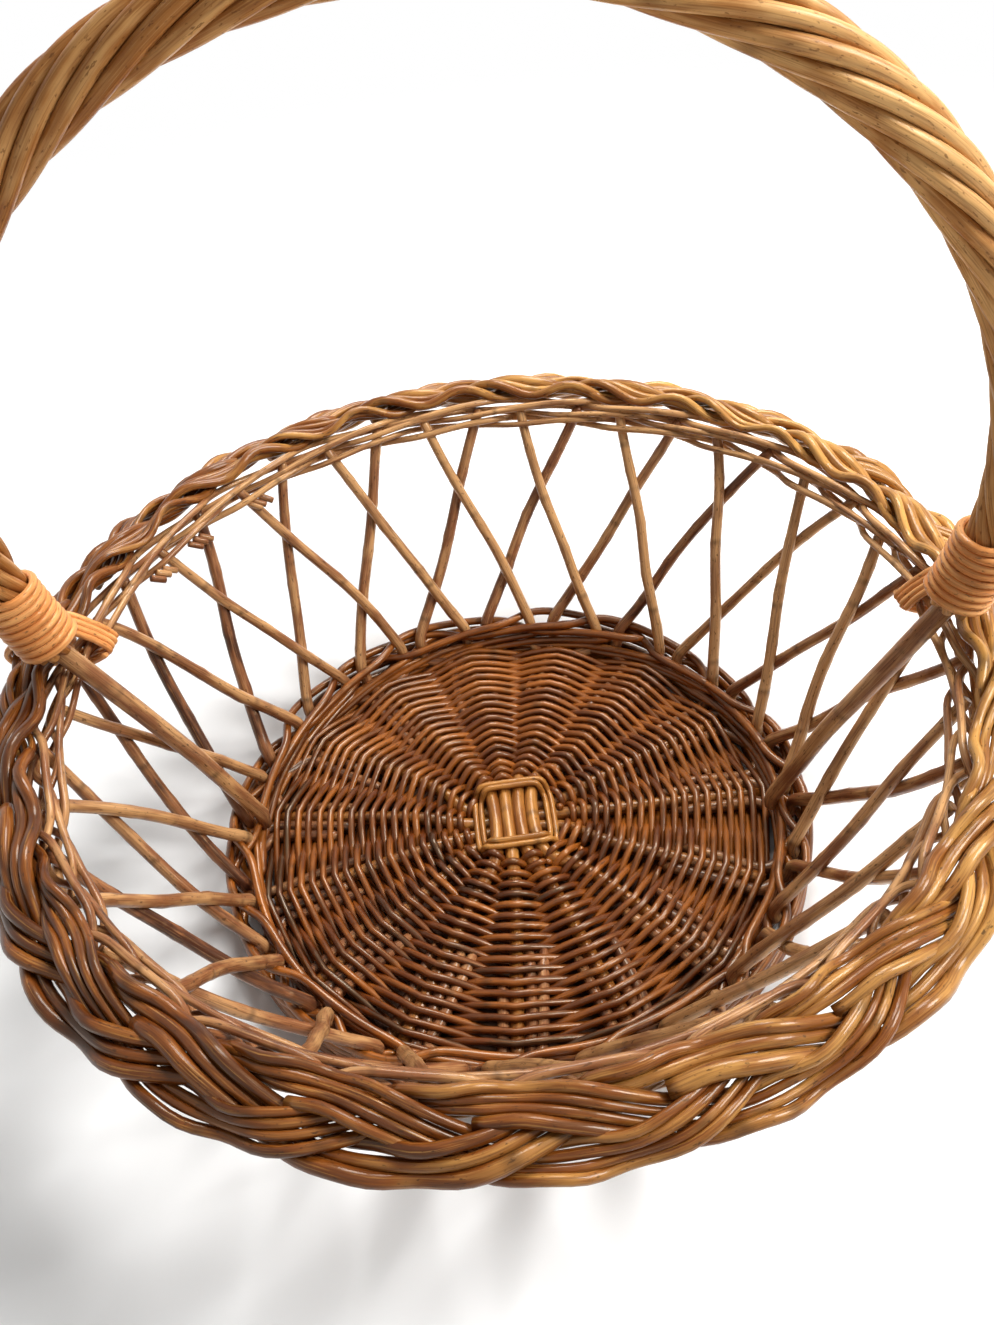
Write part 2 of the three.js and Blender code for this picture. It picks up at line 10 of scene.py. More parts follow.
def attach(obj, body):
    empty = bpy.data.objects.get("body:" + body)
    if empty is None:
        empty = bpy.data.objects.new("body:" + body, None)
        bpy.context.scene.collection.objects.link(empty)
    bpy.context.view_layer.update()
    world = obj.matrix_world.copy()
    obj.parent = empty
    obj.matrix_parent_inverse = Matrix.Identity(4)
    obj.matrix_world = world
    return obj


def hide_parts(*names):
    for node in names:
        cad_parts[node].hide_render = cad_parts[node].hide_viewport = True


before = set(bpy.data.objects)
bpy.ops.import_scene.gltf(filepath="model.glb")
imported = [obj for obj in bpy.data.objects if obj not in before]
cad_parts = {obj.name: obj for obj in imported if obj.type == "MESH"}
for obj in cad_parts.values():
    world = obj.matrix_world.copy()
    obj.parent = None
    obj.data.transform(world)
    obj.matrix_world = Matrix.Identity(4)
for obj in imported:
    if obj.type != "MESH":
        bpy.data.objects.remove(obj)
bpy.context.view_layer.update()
scene = bpy.context.scene

# A round willow basket. Every piece is a set of rods, and every rod is a closed body of its own.
# Lengths are in millimetres until a piece is made, +Z is up and the front is -Y.

MM = 0.001
TURN = 2 * math.pi

# Base
BASE_RADIUS = 109.0
BASE_RIM_HEIGHT = 6.51
BASE_CROWN = 4.0
STICKS_EACH_WAY = 4
STICK_RADIUS = 2.85
STICK_TIP_RADIUS = 2.9
STICK_PITCH = 6.4
STICK_RISE = 2.95
STICK_TONES = (0.35, 0.85)
SPOKE_TONE = 0.05
SLATH_EDGE = 17.0
SLATH_TURN = 6.9
FAN_RADIUS = 40.0
FAN_STEP = 24
FAN_SKEW = 6
SPOKE_BEND = 0.7
SPOKE_INSET = 2.5
BASE_ROD_RADIUS = 1.55
BASE_ROW_PITCH = 2.42
BASE_ROW_SHIFT = 0.25
BASE_WEAVE_START = 20.5
BASE_WEAVE_OVERHANG = 0.6
BASE_WEAVE_HUG = 0.72
BASE_WEAVE_STRAIGHTNESS = 0.75
BASE_SPAN_STEPS = 7
BASE_ROD_SPANS = (30, 75)

# Binding of the crossing. A loop is given by its half width and the turn it starts at.
BINDING_ROD_RADIUS = 1.3
BINDING_LOOPS = ((14.2, 0.4), (16.7, 1.3))
BINDING_CORNER = 6
BINDING_CLIMB = 6
BINDING_DIP = 0.25
BINDING_POINTS = 130
BINDING_TONE = 0.8

# Wall
WALL_HEIGHT = 112.5
WALL_TOP_RADIUS = 166.8
WALE_RADIUS = 116.3
FLARE_START = 20.0
FLARE = (WALL_TOP_RADIUS - WALE_RADIUS) / (WALL_HEIGHT - FLARE_START)
INSIDE, OUTSIDE = -1, 1
STAKE_RADIUS = 2.6
STAKE_PAIRS = 22
STAKE_START = 4.8
STAKE_OFFSET = 0.9
STAKE_BELLY = 1.8
STAKE_TOP_INSET = 1.5
STAKE_TAPER = (0.92, 1.04, 0.9)
STAKE_THICKEST = 40
STAKE_BOW = 1.5
STAKE_BEND = 0.5
STAKE_WOBBLE = 0.4
STAKE_KNOT_STARTS = (45, 60)
STAKE_KNOT_GAPS = (22, 32)
STAKE_KNOT_LENGTH = 2.2
STAKE_KNOT_SWELL = 0.08
STAKE_KNOT_KINK = 0.9
PAIR_SPREAD = 5.5
PAIR_ANGLE = TURN / STAKE_PAIRS
RIGHT_LEAN = 17.0
LEFT_LEAN = -20.0

# A stake's lower end lies beside a spoke of the base and turns up through the wale. It is darkened
# there with painted shade, down in the base's weave.
TUCK_SIDEWAYS = (-5.4, 5.4, 10.3)
TUCK_RADIUS = 100
TUCK_STARTS = (62, 80)
TUCK_REACHES = (92, 105)
KNEE_RADIUS, KNEE_HEIGHT = 112.5, 8.6
ANKLE_RADIUS, ANKLE_HEIGHT = WALE_RADIUS - 0.6, 14.0
FOOT_SHADE_TONE = 0.1
FOOT_HEIGHT = 9.5
FOOT_FADE = 6

# Wale and fitch
RING_OVERLAP = 1.02
WALE_ROD_RADIUS = 1.85
WALE_ROUNDS = (4.1, 11.6, 19.1)
WALE_OVERLAP = 1.015
WALE_RODS = 4
WALE_SQUARENESS = 2.6
WALE_LIFT = 2.65
WALE_ROUND_SHIFT = 0.9
WALE_WANDER = 0.25
WALE_POINTS = 240
INNER_WALE_RADIUS = 111.4
INNER_WALE_HEIGHT = 9.4
INNER_WALE_RODS = 3
INNER_WALE_SPAN = 2.5
INNER_WALE_SWING = 1.5
INNER_WALE_LIFT = 1.7
INNER_WALE_WANDER = 0.3
FITCH_ROD_RADIUS = 1.4
FITCH_ROWS = (105.9, 109.0, 112.0)
FITCH_FIRST_GAP = math.radians(8.8)
FITCH_SQUARENESS = 2.2
FITCH_LIFT = 1.3
FITCH_ROW_SHIFT = 0.45
FITCH_WANDER = 0.7
FITCH_POINTS = 320
FITCH_CUT_PLACES = (133.5, 146, 154.5)
FITCH_CUT_HEIGHT = 106.5
FITCH_CUT_STEP = 1.25
FITCH_CUT_DROP = 3.6
FITCH_CUT_INSET = 4.2
FITCH_CUT_REACH = 3.2
FITCH_CUT_SLANT = math.radians(1.6)

# Plaited border
BORDER_RADIUS = 178.0
BORDER_MIDDLE = 113.4
BORDER_TILT = math.radians(27)
BORDER_SWING = 8.3
BORDER_LIFT = 2.4
BORDER_BANK = math.radians(29)
SWING_OVERTONE = 0.08
LIFT_OVERTONE = 0.57
BANK_UNDERTONE = 0.15
BANK_OVERTONE = 0.3
STRANDS = 3
STRAND_HALF_WIDTH = 6.6
STRAND_POINTS = 46
STRAND_START = math.radians(225)
STRAND_LEAD = 0.2
STRAND_TAIL = 0.12
BUTT_CHANCE = 0.65
BUTT_STARTS = (0.62, 0.82)
BUTT_LENGTH = 0.6
BUTT_RISE = 0.8
BUTT_THICKNESS = 1.04
PLAIT_WAVES = 7
PLAIT_TURN = math.radians(-8)

# Handle
HANDLE_HALF_SPAN = 171.0
HANDLE_HEIGHT = 350.0
BOW_RADIUS = 4.0
BOW_INSET = 13.28
BOW_LEG_HEIGHTS = np.array([14.5, 22, 40, 62, 91, 112])
BOW_TAPER_HEIGHTS = (14, 110)
BOW_FOOT_RADIUS = 3.1
BOW_TOP_RADIUS = BOW_RADIUS * 0.96
BOW_INSET_HEIGHTS = (13.5, 62)
BOW_FOOT_INSET = 7.6
ROPE_RADIUS = 9.0
ROPE_ROD_RADIUS = 2.48
ROPE_RODS = 8
ROPE_PITCH = 158.0
ROPE_FOOT = 125.9
ROPE_POINTS = 200
ROPE_END_LENGTH = 60
ROPE_END_WIND = 30
LEG_SHARE = 0.217
LEG_TILT = math.radians(20)
LEG_PULL = 0.33
LEG_POINTS = 14
ARCH_POINTS = 50
COLLAR_ROD_RADIUS = 1.55
COLLAR_TURNS = 9
COLLAR_TURN_POINTS = 24
COLLAR_GRIP = 0.9
COLLAR_PITCH = 2 * COLLAR_ROD_RADIUS * 1.02
COLLAR_BOTTOM = 3.2
COLLAR_TOP = COLLAR_BOTTOM + COLLAR_PITCH * COLLAR_TURNS
COLLAR_SEAM = math.pi - 2.0
COLLAR_TUCK = 2.5
COLLAR_TUCK_POINTS = 5
CUT_ENDS = 9
CUT_END_FAN = 2.4
CUT_END_DEPTH = 8
CUT_END_RISE = 8
CUT_END_POINTS = 6
CUT_END_FOOT = 6.5
CUT_END_REACHES = (9.5, 11.5)
CUT_END_RADII = (1.5, 2.3)

# Ties. The outline is one turn of a tie, across and up in the border.
TIE_ROD_RADIUS = 1.3
TIE_TURNS = 4
TIE_PITCH = 2.05
TIE_RADIUS = 165
TIE_BOTTOM = -17
TIE_RISE = 24
TIE_SLANT = math.radians(2.2)
TIE_SHAKE = 0.2
RIGHT_TIE = math.radians(8.7)
LEFT_TIE = math.radians(172.1)
TIE_OUTLINE = (
    (-18.4, -16.6),
    (-18.6, -10.6),
    (-18.4, -4.6),
    (-17.4, 1.6),
    (-13.2, 6.2),
    (-4.0, 7.1),
    (7.0, 7.0),
    (14.0, 4.2),
    (16.4, -1.6),
    (12.6, -7.6),
    (6.0, -10.2),
    (1.6, -14.0),
    (-1.6, -16.6),
    (-10.0, -17.2),
)

# Sides of the basket. The rods carry painted light: paler towards the window or towards the back,
# and darker, as painted shade, away from it.
WINDOW_SIDE = np.array([0.85, 0.53, 0])
BACK_SIDE = np.array([0.5, 0.87, 0])
FRONT = np.array([0, -1, 0])

# Lengths over which a rod wavers, and up to which its skin's pattern is shifted along it
WOBBLE_WAVES = (60, 110)
SKIN_SHIFT = 2000

# Numbers of sides of a rod's section
THIN_SIDES = 8
MEDIUM_SIDES = 10
THICK_SIDES = 12

# Skin of the willow. A pattern is given by its scale across and along the rod, and its detail.
PATCHES = (0.25, 0.05, 2.0)
STREAKS = (2.2, 0.05, 4.0)
FIBRES = (4.0, 0.08, 2.0)
SPECKS = (1.1, 0.4, 4.0)
DENTS = (0.5, 0.12, 1.0)
TONE_SHARE = 0.62
PATCH_LEVELS = (0.33, 0.67)
PALE_LEVELS = (0.25, 0.95)
DEEP_LEVELS = (0.0, 0.3)
DARK_STREAK_LEVELS, DARK_STREAK_SHARE = (0.48, 0.68), 0.5
PALE_STREAK_LEVELS, PALE_STREAK_SHARE = (0.46, 0.3), 0.35
SPECK_LEVELS, SPECK_SHARE = (0.61, 0.7), 0.7
KNOT_LEVELS, KNOT_SHARE = (0.055, 0.0), 0.55
FIBRE_HEIGHT = 0.35
KNOT_HEIGHT = 0.9
DENT_HEIGHT = 1.2
SMOOTH_ROUGHNESS = 0.27
STREAK_ROUGHNESS = 0.22
BUMP_STRENGTH = 0.55
BUMP_DISTANCE = 0.0004
VARNISH_TINT = (1.0, 0.7, 0.38, 1)

# Floor and light, in metres. A lamp is given by its name, place, size and watts.
WHITE = (1, 1, 1, 1)
FLOOR_COLOUR = (0.86, 0.86, 0.85, 1)
# Painted shade: the floor is dark brown under the base, seen through the weave's gaps as shade.
FLOOR_SHADE_UNDER_BASE = (0.12, 0.05, 0.025, 1)
FLOOR_BASE_EDGE = (0.104, 0.114)
FLOOR_FADE = (0.4, 0.95)
FLOOR_HALF_SIZE = 6.0
FLOOR_ROUGHNESS = 0.9
WORLD_LIGHT = 0.22
LAMP_AIM = (0, 0, 0.12)
LAMPS = (
    ("back_window", (0.15, 0.85, 1.35), 0.65, 25),
    ("right_window", (0.85, -0.05, 0.95), 0.5, 18),
    ("front_fill", (-0.3, -1.3, 1.7), 1.0, 1.0),
)

# Camera at the photograph's place: above the front rim, looking down at 45 degrees. Its place is
# in millimetres and its pitch and roll are in radians.
CAMERA_PLACE = np.array([36.3, -299.8, 409.6])
CAMERA_YAW = math.radians(-6.7)
CAMERA_PITCH = 0.785
CAMERA_ROLL = -0.132
FOCAL_PIXELS = 1150
PHOTO_PIXELS = 1325
SENSOR_SIZE = 36

draw = random.Random(7)


# Paths


def jitter(size):
    return draw.uniform(-size, size)


def polar(radius, angle, height):
    radius, angle, height = np.broadcast_arrays(radius, angle, height)
    return np.stack([radius * np.cos(angle), radius * np.sin(angle), height], axis=-1).astype(float)


def smooth_path(points, steps):
    """A smooth line through the points, with so many steps between each two."""
    points = np.asarray(points, float)
    padded = np.vstack([2 * points[0] - points[1], points, 2 * points[-1] - points[-2]])
    share = np.linspace(0, 1, steps, endpoint=False)[:, None]
    pieces = []
    for a, b, c, d in zip(padded, padded[1:], padded[2:], padded[3:]):
        slope_b, slope_c = (c - a) / 2, (d - b) / 2
        pieces.append(
            (2 * share**3 - 3 * share**2 + 1) * b
            + (share**3 - 2 * share**2 + share) * slope_b
            + (3 * share**2 - 2 * share**3) * c
            + (share**3 - share**2) * slope_c
        )
    return np.vstack([*pieces, points[-1:]])


def lengths_along(points):
    steps = np.linalg.norm(np.diff(points, axis=0), axis=1)
    return np.concatenate([[0.0], np.cumsum(steps)])


def ease(share):
    share = np.clip(share, 0, 1)
    return share * share * (3 - 2 * share)


def ring_angles(count, overlap=RING_OVERLAP):
    """Angles once round the basket and a little on, from a drawn start."""
    return draw.uniform(0, TURN) + np.linspace(0, TURN * overlap, count)


def woven_swing(reach, phase, squareness):
    """In and out round the stakes. A squarer swing stays longer on either side."""
    return reach * np.tanh(squareness * np.cos(phase)) / math.tanh(squareness)


def drawn_wave(phase, size, slow, fast):
    """A wave along the phase, whose rate and start are drawn."""
    return size * np.sin(phase * draw.uniform(slow, fast) + draw.uniform(0, TURN))


def drawn_taper(thick, thin, count):
    """Shares of a radius from a rod's thick end to its thin one, both drawn."""
    return np.linspace(draw.uniform(*thick), draw.uniform(*thin), count)


def rod(points, radius, tone=None, wobble=0.0, ends=0.75):
    """One willow rod: its line, its radius along it, and how pale it is from 0 to 1.

    The radius is cut to a share of it at both ends, and a tone that isn't given is drawn.
    """
    points = np.asarray(points, float)
    radius = np.broadcast_to(radius, len(points)).astype(float).copy()
    radius[0] *= ends
    radius[-1] *= ends
    if wobble:
        place = lengths_along(points)
        for axis in range(3):
            wave = draw.uniform(*WOBBLE_WAVES)
            points[:, axis] += wobble * np.sin(TURN * (place / wave + draw.random()))
    return {"points": points, "radius": radius, "tone": draw.random() if tone is None else tone}


def paint_side_light(rods, towards, middle, reach, spread):
    """Paints light and shade into the rods' tones: paler on one side of the basket, as if lit, and
    darker on the other, as if shaded, on top of each rod's own drawn tone.
    """
    for item in rods:
        side = np.clip(item["points"] @ towards / BORDER_RADIUS, -1, 1)
        item["tone"] = middle + reach * side + spread * (item["tone"] - 0.5)
    return rods


# Pieces made of rods


def bent_mesh(name, rods, sides):
    """Bends a round section along each rod's line. The section has an even number of sides."""
    curve = bpy.data.curves.new(name, "CURVE")
    curve.dimensions = "3D"
    curve.bevel_depth = 1.0
    curve.bevel_resolution = (sides - 4) // 2
    curve.twist_mode = "MINIMUM"
    for item in rods:
        count = len(item["points"])
        spline = curve.splines.new("POLY")
        spline.points.add(count - 1)
        places = np.hstack([item["points"] * MM, np.ones((count, 1))])
        spline.points.foreach_set("co", places.astype(np.float32).ravel())
        spline.points.foreach_set("radius", (item["radius"] * MM).astype(np.float32))
    holder = bpy.data.objects.new(name, curve)
    scene.collection.objects.link(holder)
    bpy.context.view_layer.update()
    mesh = bpy.data.meshes.new_from_object(holder)
    bpy.data.objects.remove(holder)
    bpy.data.curves.remove(curve)
    return mesh


def mark_skin(mesh, rods, sides):
    """Stores each rod's tone, and the place of each point across and along it."""
    turn = TURN * np.arange(sides) / sides
    skins, tones = [], []
    for item in rods:
        place = lengths_along(item["points"]) + draw.uniform(0, SKIN_SHIFT)
        across = item["radius"][:, None]
        along = np.repeat(place[:, None], sides, 1)
        skin = np.stack([across * np.cos(turn), across * np.sin(turn), along], axis=-1)
        skins.append(skin.reshape(-1, 3))
        tones.append(np.repeat(np.broadcast_to(item["tone"], len(skin)), sides))
    skin_layer = mesh.attributes.new("rod_skin", "FLOAT_VECTOR", "POINT")
    skin_layer.data.foreach_set("vector", np.vstack(skins).astype(np.float32).ravel())
    tone_layer = mesh.attributes.new("rod_tone", "FLOAT", "POINT")
    tone_layer.data.foreach_set("value", np.concatenate(tones).astype(np.float32))


def close_ends(mesh):
    shape = bmesh.new()
    shape.from_mesh(mesh)
    edges = [edge for edge in shape.edges if edge.is_boundary]
    for face in bmesh.ops.holes_fill(shape, edges=edges, sides=0)["faces"]:
        face.smooth = False
    bmesh.ops.recalc_face_normals(shape, faces=shape.faces)
    shape.to_mesh(mesh)
    shape.free()


def rods_piece(name, rods, sides, material, slot, *replaced):
    mesh = bent_mesh(name, rods, sides)
    mark_skin(mesh, rods, sides)
    close_ends(mesh)
    mesh.name = name
    piece = bpy.data.objects.new(name, mesh)
    scene.collection.objects.link(piece)
    mesh.materials.clear()
    mesh.materials.append(material)
    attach(piece, "root")
    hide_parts(*replaced)


# Materials


def linked(tree, kind, inputs=(), **settings):
    """A new node with its settings. Each of its inputs is linked to a socket or set to a value."""
    node = tree.nodes.new(kind)
    for key, value in settings.items():
        setattr(node, key, value)
    for key, value in dict(inputs).items():
        if isinstance(value, bpy.types.NodeSocket):
            tree.links.new(value, node.inputs[key])
        else:
            node.inputs[key].default_value = value
    return node


def math_node(tree, operation, *values):
    inputs = dict(enumerate(values))
    return linked(tree, "ShaderNodeMath", inputs, operation=operation).outputs[0]


def ramp(tree, value, low, high, kind="SMOOTHSTEP"):
    """From 0 at the low value to 1 at the high one."""
    inputs = {"Value": value, "From Min": low, "From Max": high}
    return linked(tree, "ShaderNodeMapRange", inputs, interpolation_type=kind).outputs["Result"]


def mix(tree, share, first, second):
    inputs = {0: share, 6: first, 7: second}
    return linked(tree, "ShaderNodeMix", inputs, data_type="RGBA").outputs[2]


def noise(tree, skin, across, along, detail):
    scale = {0: skin, 1: (across, across, along)}
    place = linked(tree, "ShaderNodeVectorMath", scale, operation="MULTIPLY").outputs[0]
    inputs = {"Vector": place, "Scale": 1.0, "Detail": detail}
    return linked(tree, "ShaderNodeTexNoise", inputs).outputs["Fac"]


def knots_along(tree, skin, spacing):
    """1 at the knots of a rod and 0 between them."""
    length = linked(tree, "ShaderNodeSeparateXYZ", {0: skin}).outputs["Z"]
    inputs = {"W": math_node(tree, "DIVIDE", length, spacing), "Scale": 1.0}
    cells = linked(tree, "ShaderNodeTexVoronoi", inputs, voronoi_dimensions="1D")
    return ramp(tree, cells.outputs["Distance"], *KNOT_LEVELS)


def willow_group():
    """Skin of a varnished willow rod: tone from rod to rod, mottling along it, knots and fibres."""
    group = bpy.data.node_groups.new("Willow Skin", "ShaderNodeTree")
    for in_out, kind, names in (
        ("INPUT", "NodeSocketColor", ("Dark", "Middle", "Light", "Knot")),
        ("INPUT", "NodeSocketFloat", ("Knot Spacing", "Mottle")),
        ("OUTPUT", "NodeSocketColor", ("Color",)),
        ("OUTPUT", "NodeSocketFloat", ("Roughness", "Height")),
    ):
        for name in names:
            group.interface.new_socket(name, in_out=in_out, socket_type=kind)
    given = group.nodes.new("NodeGroupInput").outputs
    skin = linked(group, "ShaderNodeAttribute", attribute_name="rod_skin").outputs["Vector"]
    tone = linked(group, "ShaderNodeAttribute", attribute_name="rod_tone").outputs["Fac"]
    patches = ramp(group, noise(group, skin, *PATCHES), *PATCH_LEVELS)
    streaks = noise(group, skin, *STREAKS)
    specks = ramp(group, noise(group, skin, *SPECKS), *SPECK_LEVELS)
    knots = knots_along(group, skin, given["Knot Spacing"])

    pale = math_node(group, "MULTIPLY", tone, TONE_SHARE)
    pale = math_node(group, "MULTIPLY_ADD", patches, given["Mottle"], pale)
    colour = mix(group, ramp(group, pale, *PALE_LEVELS), given["Middle"], given["Light"])
    colour = mix(group, ramp(group, pale, *DEEP_LEVELS), given["Dark"], colour)
    for cover, share, name in (
        (ramp(group, streaks, *DARK_STREAK_LEVELS), DARK_STREAK_SHARE, "Dark"),
        (ramp(group, streaks, *PALE_STREAK_LEVELS), PALE_STREAK_SHARE, "Light"),
        (specks, SPECK_SHARE, "Knot"),
        (math_node(group, "MULTIPLY", knots, patches), KNOT_SHARE, "Knot"),
    ):
        colour = mix(group, math_node(group, "MULTIPLY", cover, share), colour, given[name])

    height = math_node(group, "MULTIPLY", noise(group, skin, *FIBRES), FIBRE_HEIGHT)
    for bumps, share in ((knots, KNOT_HEIGHT), (noise(group, skin, *DENTS), DENT_HEIGHT)):
        height = math_node(group, "ADD", height, math_node(group, "MULTIPLY", bumps, share))
    rough = math_node(group, "MULTIPLY_ADD", streaks, STREAK_ROUGHNESS, SMOOTH_ROUGHNESS)
    outputs = {"Color": colour, "Roughness": rough, "Height": height}
    linked(group, "NodeGroupOutput", outputs)
    return group


WILLOW_SKIN = willow_group()


def willow(name, dark, middle, light, knot, knot_spacing, mottle, coat, gloss, coat_roughness=0.1):
    """A varnished willow, from its dark rods to its light ones, with knots at about a spacing."""
    material = bpy.data.materials.new(name)
    material.use_nodes = True
    tree = material.node_tree
    shader = tree.nodes["Principled BSDF"]
    skin = tree.nodes.new("ShaderNodeGroup")
    skin.node_tree = WILLOW_SKIN
    for key, value in (("Dark", dark), ("Middle", middle), ("Light", light), ("Knot", knot)):
        skin.inputs[key].default_value = (*value, 1)
    skin.inputs["Knot Spacing"].default_value = knot_spacing
    skin.inputs["Mottle"].default_value = mottle
    inputs = {
        "Height": skin.outputs["Height"],
        "Strength": BUMP_STRENGTH,
        "Distance": BUMP_DISTANCE,
    }
    bump = linked(tree, "ShaderNodeBump", inputs)
    tree.links.new(skin.outputs["Color"], shader.inputs["Base Color"])
    tree.links.new(skin.outputs["Roughness"], shader.inputs["Roughness"])
    tree.links.new(bump.outputs["Normal"], shader.inputs["Normal"])
    shader.inputs["Specular IOR Level"].default_value = gloss
    shader.inputs["Specular Tint"].default_value = VARNISH_TINT
    shader.inputs["Coat Weight"].default_value = coat
    shader.inputs["Coat Roughness"].default_value = coat_roughness
    return material


BASE_WILLOW = willow(
    "Reddish Brown Base Willow",
    dark=(0.026, 0.006, 0.001),
    middle=(0.09, 0.016, 0.001),
    light=(0.28, 0.078, 0.009),
    knot=(0.014, 0.003, 0.001),
    knot_spacing=70,
    mottle=0.5,
    coat=0.32,
    gloss=0.5,
)
STICK_WILLOW = willow(
    "Brown Base Stick Willow",
    dark=(0.085, 0.021, 0.003),
    middle=(0.22, 0.067, 0.01),
    light=(0.44, 0.185, 0.038),
    knot=(0.03, 0.008, 0.002),
    knot_spacing=45,
    mottle=0.5,
    coat=0.25,
    gloss=0.4,
)
STAKE_WILLOW = willow(
    "Brown Stake Willow",
    dark=(0.055, 0.016, 0.008),
    middle=(0.21, 0.073, 0.027),
    light=(0.52, 0.275, 0.11),
    knot=(0.025, 0.009, 0.005),
    knot_spacing=42,
    mottle=0.5,
    coat=0.25,
    gloss=0.3,
)
BORDER_WILLOW = willow(
    "Golden Tan Border Willow",
    dark=(0.06, 0.013, 0.002),
    middle=(0.175, 0.045, 0.005),
    light=(0.57, 0.29, 0.075),
    knot=(0.02, 0.006, 0.002),
    knot_spacing=85,
    mottle=0.34,
    coat=0.28,
    gloss=0.3,
)
HANDLE_WILLOW = willow(
    "Tan Handle Willow",
    dark=(0.18, 0.048, 0.011),
    middle=(0.36, 0.137, 0.032),
    light=(0.7, 0.4, 0.15),
    knot=(0.13, 0.04, 0.011),
    knot_spacing=120,
    mottle=0.36,
    coat=0.11,
    gloss=0.3,
    coat_roughness=0.18,
)
COLLAR_WILLOW = willow(
    "Light Brown Collar Willow",
    dark=(0.38, 0.11, 0.028),
    middle=(0.66, 0.24, 0.064),
    light=(0.8, 0.38, 0.13),
    knot=(0.12, 0.035, 0.012),
    knot_spacing=150,
    mottle=0.5,
    coat=0.16,
    gloss=0.3,
)


# Base


def base_height(radius):
    """Height of the base's middle, which is domed."""
    return BASE_RIM_HEIGHT + BASE_CROWN * (1 - (np.asarray(radius) / BASE_RADIUS) ** 2)


def stick_radius(radius):
    return np.interp(radius, [SLATH_EDGE, 2 * FAN_RADIUS], [STICK_RADIUS, STICK_TIP_RADIUS])


def fan(sign, count=STICKS_EACH_WAY, turn=0.0):
    """Directions in which the sticks' ends on one side of the crossing fan out, in degrees."""
    return [sign * (i - (count - 1) / 2) * FAN_STEP + turn for i in range(count)]


def stick_end(axis_turn, offset, side, angle, rise):
    """Points of one end of a base stick, from the crossing's edge out to the base's rim."""
    axis = math.radians(axis_turn)
    onto_axis = np.array([[math.cos(axis), math.sin(axis)], [-math.sin(axis), math.cos(axis)]])
    out = math.radians(angle) + (0 if side > 0 else math.pi)
    direction = np.array([math.cos(out), math.sin(out)])
    points = []
    for place in (
        np.array([side * SLATH_EDGE, offset]),
        direction * FAN_RADIUS,
        direction * SPOKE_BEND * BASE_RADIUS,
        direction * (BASE_RADIUS - SPOKE_INSET),
    ):
        radius = np.hypot(*place)
        lift = rise * (1 - ease((radius - SLATH_EDGE) / (FAN_RADIUS - SLATH_EDGE)))
        points.append([*(place @ onto_axis), float(base_height(radius)) + lift])
    return points


def base_sticks(axis_turn, rise, near, far):
    """One way's sticks as rods, and the spokes that they make. A stick can end at the crossing."""
    rods, spokes = [], []
    for i in range(STICKS_EACH_WAY):
        offset = (i - (STICKS_EACH_WAY - 1) / 2) * STICK_PITCH
        start = stick_end(axis_turn, offset, -1, near[i], rise)
        spokes.append(start)
        if far[i] is None:
            finish = stick_end(axis_turn, offset, 1, 0, rise)[:1]
        else:
            finish = stick_end(axis_turn, offset, 1, far[i], rise)
            spokes.append(finish)
        line = smooth_path([*start[::-1], *finish], steps=8)
        reach = np.hypot(line[:, 0], line[:, 1])
        tones = [draw.uniform(*STICK_TONES), SPOKE_TONE]
        tone = np.interp(reach, [SLATH_EDGE, FAN_RADIUS], tones)
        rods.append(rod(line, stick_radius(reach), tone, ends=0.85))
    return rods, spokes


def end_direction(points):
    return math.atan2(points[-1][1], points[-1][0]) % TURN


def spoke_line(points):
    """Reach, angle and height along a spoke."""
    line = smooth_path(points, steps=12)
    reach = np.hypot(line[:, 0], line[:, 1])
    angle = np.unwrap(np.arctan2(line[:, 1], line[:, 0]))
    return reach, angle + (TURN if angle[-1] < 0 else 0), line[:, 2]


LONG_STICKS, LONG_SPOKES = base_sticks(
    SLATH_TURN + 90, STICK_RISE, fan(-1, turn=FAN_SKEW), fan(1, turn=-FAN_SKEW)
)
CROSS_STICKS, CROSS_SPOKES = base_sticks(
    SLATH_TURN, -STICK_RISE, fan(-1), [None, *fan(1, STICKS_EACH_WAY - 1)]
)
SPOKES = sorted(LONG_SPOKES + CROSS_SPOKES, key=end_direction)
SPOKE_LINES = [spoke_line(points) for points in SPOKES]


def slath_loops():
    """Two thin rods that bind the crossing: high over the long sticks and low beside them."""
    loops = []
    axis = math.radians(SLATH_TURN)
    low = base_height(0) - STICK_RISE + STICK_RADIUS + BINDING_ROD_RADIUS
    high = base_height(0) + STICK_RISE + STICK_RADIUS + BINDING_ROD_RADIUS
    for half, start in BINDING_LOOPS:
        turn = np.linspace(0, TURN * RING_OVERLAP, BINDING_POINTS) + start
        out = np.abs(np.cos(turn)) ** BINDING_CORNER + np.abs(np.sin(turn)) ** BINDING_CORNER
        out = out ** (-1 / BINDING_CORNER)
        across, along = half * out * np.cos(turn), half * out * np.sin(turn)
        over_long = ease((np.abs(along) - np.abs(across)) / BINDING_CLIMB + 0.5)
        height = low + (high - low) * over_long - BINDING_DIP * (half - BINDING_LOOPS[0][0])
        x = across * math.cos(axis) - along * math.sin(axis)
        y = across * math.sin(axis) + along * math.cos(axis)
        loops.append(rod(np.stack([x, y, height], 1), BINDING_ROD_RADIUS, BINDING_TONE))
    return loops


